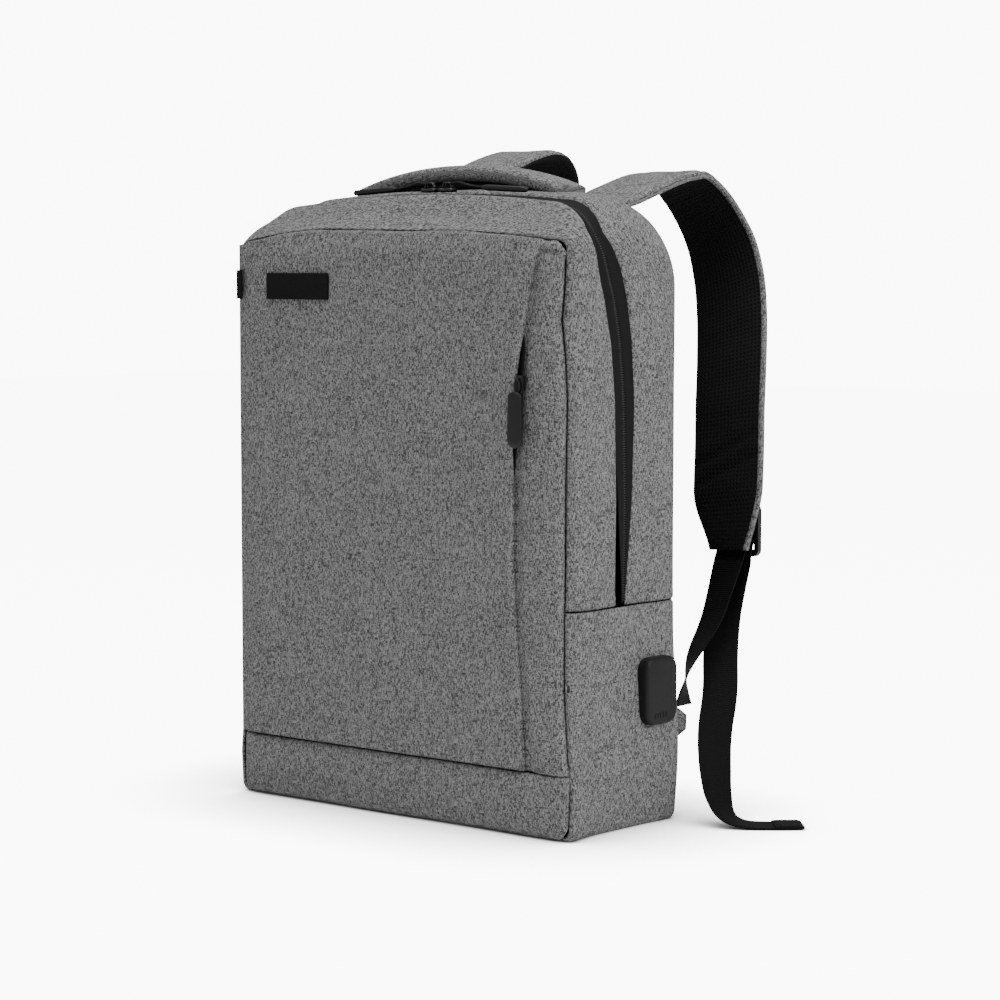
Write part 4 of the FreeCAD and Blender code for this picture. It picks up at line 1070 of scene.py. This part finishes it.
def make_tab(side, sign):
    """A folded cloth triangle that tapers from the corner seam to the webbing."""
    share = np.linspace(0, 1, 22)
    start, end = np.array([0.1400, 0.0590, 0.066]), np.array([0.1502, 0.0800, 0.0650])
    path = start + (end - start) * share[:, None]
    tall = 0.045 - 0.034 * share
    outline = lozenge(1.0, 1.0, 5.0, 28) * stack(tall, 0.0034 - 0.0006 * share)[:, None, :]
    path = path * np.array([sign, 1, 1])
    piece = swept("corner_tab_cloth_" + side, path, (0, 0, 1), outline, [CLOTH])
    finish_piece(piece, "bag_body", "grey_cloth", "corner_tab_" + side)


def make_loop(side, sign):
    """Webbing sewn into the strap's tip, doubled round the buckle's top bar."""
    middle = np.array([sign * 0.150, 0.1476, 0.2138])
    turn = np.linspace(0, math.pi, 17)
    radius = 0.0034
    arc = stack(np.zeros(17), -np.cos(turn) * radius, -np.sin(turn) * radius)
    legs = np.linspace(0.0080, 0.0005, 6)
    front = stack(np.zeros(6), np.full(6, -radius), legs)
    path = middle + np.concatenate([front, arc, front[::-1] * np.array([1, -1, 1])])
    piece = swept("buckle_loop_webbing_" + side, path, (1, 0, 0),
                  lozenge(WEB_WIDTH, WEB_THICK, 6.0), [WEB])
    finish_piece(piece, "strap_" + side, "webbing", "buckle_loop_" + side)


def make_turn(side, sign):
    """Webbing threaded over the buckle's middle bar, joining the run to the tail."""
    points = np.array([(150, 133, 176), (150, 137, 184), (150, 142, 195), (150, 145.6, 202),
                       (150, 148.6, 203.6), (150, 151.2, 200.5), (150, 151.0, 195),
                       (150, 147.8, 189.5), (150, 144.2, 183), (150, 143, 173)])
    path = smooth_line(points * MM * np.array([sign, 1, 1]), 70)
    piece = swept("buckle_webbing_" + side, path, (1, 0, 0), lozenge(WEB_WIDTH, WEB_THICK, 6.0),
                  [WEB])
    bent_piece(piece, ("strap_" + side, "buckle_" + side), (sign * 0.150, 0.140, 0.174),
               (sign * 0.150, 0.146, 0.192), "webbing")


for side, sign in SIDES:
    make_run(side, sign)
    make_turn(side, sign)
    make_tab(side, sign)
    make_loop(side, sign)


# ---- patch, label and pocket zip ------------------------------------------------------
def make_labels():
    """The plain patch on the front and the folded label in the left seam."""
    patch = slab("plain_front_patch", (-0.1183, -0.0648, 0.3632), (-0.0593, -0.0624, 0.3820),
                 [LABEL], 0.0005, 3, 0.0012)
    finish_piece(patch, "front_flap", "black_label", "front_patch")
    corner = smooth_line([(-0.1440, -0.0634, 0.3737), (-0.1485, -0.0626, 0.3737),
                          (-0.1515, -0.0600, 0.3737), (-0.1525, -0.0565, 0.3737),
                          (-0.1528, -0.0500, 0.3737)], 24)
    label = swept("plain_side_label", corner, (0, 0, 1), lozenge(0.0208, 0.0014, 8.0), [LABEL])
    finish_piece(label, "front_flap", "black_label", "side_label")


def make_pocket_zip():
    """Tape and coil of the front pocket, under the free edge of its panel."""
    z = np.linspace(0.162, 0.350, 60)
    shown = ease((z - 0.225) / 0.05) * ease((0.350 - z) / 0.02)
    line = stack(along_table(PANEL_EDGE, z) - 0.0085 + 0.0045 * shown, np.full(60, -0.0607), z)
    tape = swept("pocket_tape", line, (1, 0, 0), lozenge(0.0130, 0.0009, 6.0, 20), [TAPE])
    finish_piece(tape, "front_flap", "zip_tape", "pocket_zip_tape")
    z = np.linspace(0.163, 0.349, 240)
    line = stack(along_table(PANEL_EDGE, z) - 0.0030, np.full(240, -0.0613), z)
    ripple = 0.75 + 0.25 * np.cos(np.arange(240) * math.pi)
    outline = lozenge(0.0036, 0.0011, 3.0, 12) * ripple[:, None, None]
    coil = swept("pocket_coil", line, (1, 0, 0), outline, [TEETH])
    finish_piece(coil, "front_flap", "zip_teeth", "pocket_zip_chain")


def make_pocket_pull():
    """The pocket's long rubber pull on its short cord."""
    z = np.linspace(0.2650, 0.3035, 30)
    share = (z - z[0]) / (z[-1] - z[0])
    end = np.sqrt(np.clip(1 - np.clip(1 - share / 0.16, 0, 1) ** 2, 0.02, 1))
    head = np.sqrt(np.clip(1 - np.clip((share - 0.90) / 0.10, 0, 1) ** 2, 0.02, 1))
    wide = 0.0125 * end * head * (1 - 0.10 * share)
    outline = lozenge(1.0, 1.0, 3.4, 28) * stack(wide, 0.0036 * np.minimum(end, head) ** 0.5)[
        :, None, :]
    line = stack(np.full(30, 0.1130), np.full(30, -0.0677), z)
    grip = swept("pocket_grip", line, (1, 0, 0), outline, [GRIP], 1)
    finish_piece(grip, "pocket_pull", "rubber_grip", "pocket_pull_grip")
    turn = np.linspace(0, math.tau, 40)
    loop = stack(0.1140 + 0.0016 * np.sin(turn), np.full(40, -0.0668),
                 0.3068 + 0.0048 * np.cos(turn))
    cord = swept("pocket_pull_loop", loop, (0, -1, 0), lozenge(0.0013, 0.0013, 2.0, 10), [CORD])
    finish_piece(cord, "pocket_pull", "pull_cord", "pocket_pull_cord")


make_labels()
make_pocket_zip()
make_pocket_pull()


# ---- charging socket --------------------------------------------------------------------
def make_port():
    """The socket's outside: a wide foot, a deep rounded cover, its flap's groove and ribs."""
    blocks = [
        ("port_foot", (0.1500, 0.0120, 0.0680), (0.1536, 0.0545, 0.1190), 0.0012, 0.0100, PORT),
        ("port_cover", (0.1530, 0.0160, 0.0705), (0.1632, 0.0520, 0.1175), 0.0024, 0.0095, PORT),
        ("port_flap_groove", (0.1628, 0.0448, 0.0760), (0.16335, 0.0458, 0.1100), 0.0002, 0.0004,
         LINING)]
    blocks += [("port_rib_%d" % k, (0.1630, 0.0250 + k * 0.0032, 0.0752),
                (0.1636, 0.0266 + k * 0.0032, 0.0790), 0.0002, 0.0005, PORT) for k in range(5)]
    for name, low, high, bevel, corner, material in blocks:
        piece = slab(name, low, high, [material], bevel, 4, corner, "x")
        nodes = ["usb_port_housing"] if name == "port_cover" else []
        finish_piece(piece, "bag_body", "port_plastic", *nodes)


# ---- main zip's sliders and pulls ---------------------------------------------------------
PULL_DEPTH, SLIDER_LEVEL, GRIP_TOP = -0.018, 0.4400, 0.4414


def make_slider(side, centre, way):
    """A waisted slider body with a raised bridge, its cord loop and a rubber grip."""
    share = np.linspace(-1, 1, 25)
    place = centre + share * 0.0062
    path = stack(place, np.full(25, PULL_DEPTH), np.full(25, SLIDER_LEVEL))
    wide = 0.0082 * (1 - 0.25 * bell(share, 0.0, 0.5)) * np.sqrt(1 - 0.55 * np.abs(share) ** 8)
    outline = lozenge(1.0, 1.0, 4.0, 24) * stack(wide, np.full(25, 0.0030))[:, None, :]
    body = swept("slider_body_" + side, path, (0, -1, 0), outline, [METAL])
    finish_piece(body, "slider_" + side, "slider_metal", "zip_slider_" + side)
    rise = 0.4414 + 0.0038 * (1 - share ** 4)
    bridge = swept("slider_bridge_" + side, stack(centre + share * 0.0044, path[:, 1], rise),
                   (0, -1, 0), lozenge(0.0026, 0.0013, 3.0, 12), [METAL])
    finish_piece(bridge, "slider_" + side, "slider_metal")
    tip, root = centre + way * 0.0330, centre + way * 0.0030
    for name, offset in (("front", -0.0008), ("rear", 0.0008)):
        line = smooth_line([(root, PULL_DEPTH + offset, 0.4446),
                            (root + way * 0.008, PULL_DEPTH + offset, 0.4452),
                            (root + way * 0.018, PULL_DEPTH + offset * 1.8, 0.4428),
                            (tip, PULL_DEPTH + offset * 0.8, GRIP_TOP)], 30)
        cord = swept("pull_cord_%s_%s" % (name, side), line, (0, -1, 0),
                     lozenge(0.0014, 0.0014, 2.0, 10), [CORD])
        node = ["zip_pull_cord_" + side] if name == "front" else []
        finish_piece(cord, "pull_" + side, "pull_cord", *node)
    share = np.linspace(0, 1, 36)
    path = stack(tip - way * 0.0015 + way * 0.0400 * share, np.full(36, PULL_DEPTH),
                 GRIP_TOP - 0.0022 * share)
    end = np.sqrt(np.clip(1 - np.clip((share - 0.93) / 0.07, 0, 1) ** 2, 0.03, 1))
    neck = 0.62 + 0.38 * ease(share / 0.14)
    outline = lozenge(1.0, 1.0, 3.0, 24) * stack(0.0064 * end * neck,
                                                 0.0042 * end * neck)[:, None, :]
    grip = swept("pull_grip_" + side, path, (0, -1, 0), outline, [GRIP], 1)
    finish_piece(grip, "pull_" + side, "rubber_grip", "zip_pull_grip_" + side)


# ---- inside: divider, pouch and the socket's lead -----------------------------------------
LEAD_ROUTE = [(0.130, 0.0335, 0.0935), (0.118, 0.0335, 0.094), (0.106, 0.027, 0.104),
              (0.103, 0.014, 0.124), (0.111, 0.0, 0.142), (0.124, -0.011, 0.142),
              (0.133, -0.017, 0.126), (0.1335, -0.018, 0.106)]


def make_divider():
    """A padded sheet with four quilted rows."""
    x = graded(-0.1415, 0.1415, 90, 0.006, 5)[None, :]
    z = graded(0.004, 0.304, 100, 0.006, 5)[:, None]
    quilt = sum(bell(z, place, 0.004) for place in (0.06, 0.12, 0.18, 0.24)) + 0 * x
    grid = stack(x, 0.0362 + 0.0014 * quilt + 0.0006 * waves(x, z, 61, 0.08), z)
    piece = cloth_piece("quilted_divider", rolled(grid, "lrbt", 0.002, 0.004), [LINING], 0.0046)
    finish_piece(piece, "bag_body", "black_lining", "laptop_divider")


def make_pouch():
    """A pouch of three soft walls with a gathered rim."""
    plan = smooth_line([(0.1475, 0.0172, 0), (0.136, 0.0175, 0), (0.1262, 0.0150, 0),
                        (0.1248, 0.0, 0), (0.1245, -0.014, 0), (0.1248, -0.028, 0),
                        (0.1262, -0.0412, 0), (0.136, -0.0436, 0), (0.1475, -0.0434, 0)], 90)
    z = graded(0.004, 0.117, 60, 0.005, 5)[:, None]
    gather = 0.0012 * ease((z - 0.098) / 0.012)
    length = runs(plan[None], 1)
    swell = gather * np.sin(length / 0.0055 * math.tau) + 0.0006 * waves(length, z, 62, 0.05)
    grid = proud(stack(plan[None, :, 0], plan[None, :, 1], z + 0 * length), swell)
    piece = cloth_piece("gathered_pouch", grid, [LINING], 0.0014)
    finish_piece(piece, "bag_body", "black_lining", "power_bank_pouch")


def make_lead():
    """A round rubber lead from the socket to its plug in the pouch."""
    points = spline_points("lead_line", LEAD_ROUTE)
    lead = swept("rubber_lead", points, (0.2, 0.1, 1), lozenge(0.004, 0.004, 2.0, 16), [RUBBER])
    finish_piece(lead, "bag_body", "lead_rubber", "usb_lead")
    plug = slab("lead_plug", (0.1295, -0.025, 0.084), (0.1375, -0.011, 0.106), [PORT], 0.0012, 3,
                0.0018, "z")
    finish_piece(plug, "bag_body", "port_plastic", "usb_lead_plug")


make_port()
make_slider("left", -0.0030, LEFT)
make_slider("right", 0.0130, RIGHT)
make_divider()
make_pouch()
make_lead()


# ---- finishes of the CAD nodes that stay as they are ------------------------------------
KEPT = {
    "pocket_slider": METAL, "usb_backing_plate": PORT, "usb_socket": METAL,
    "ladder_buckle_right": PLASTIC, "ladder_buckle_left": PLASTIC,
}
for node, material in KEPT.items():
    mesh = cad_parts[node].data
    mesh.materials.clear()
    mesh.materials.append(material)
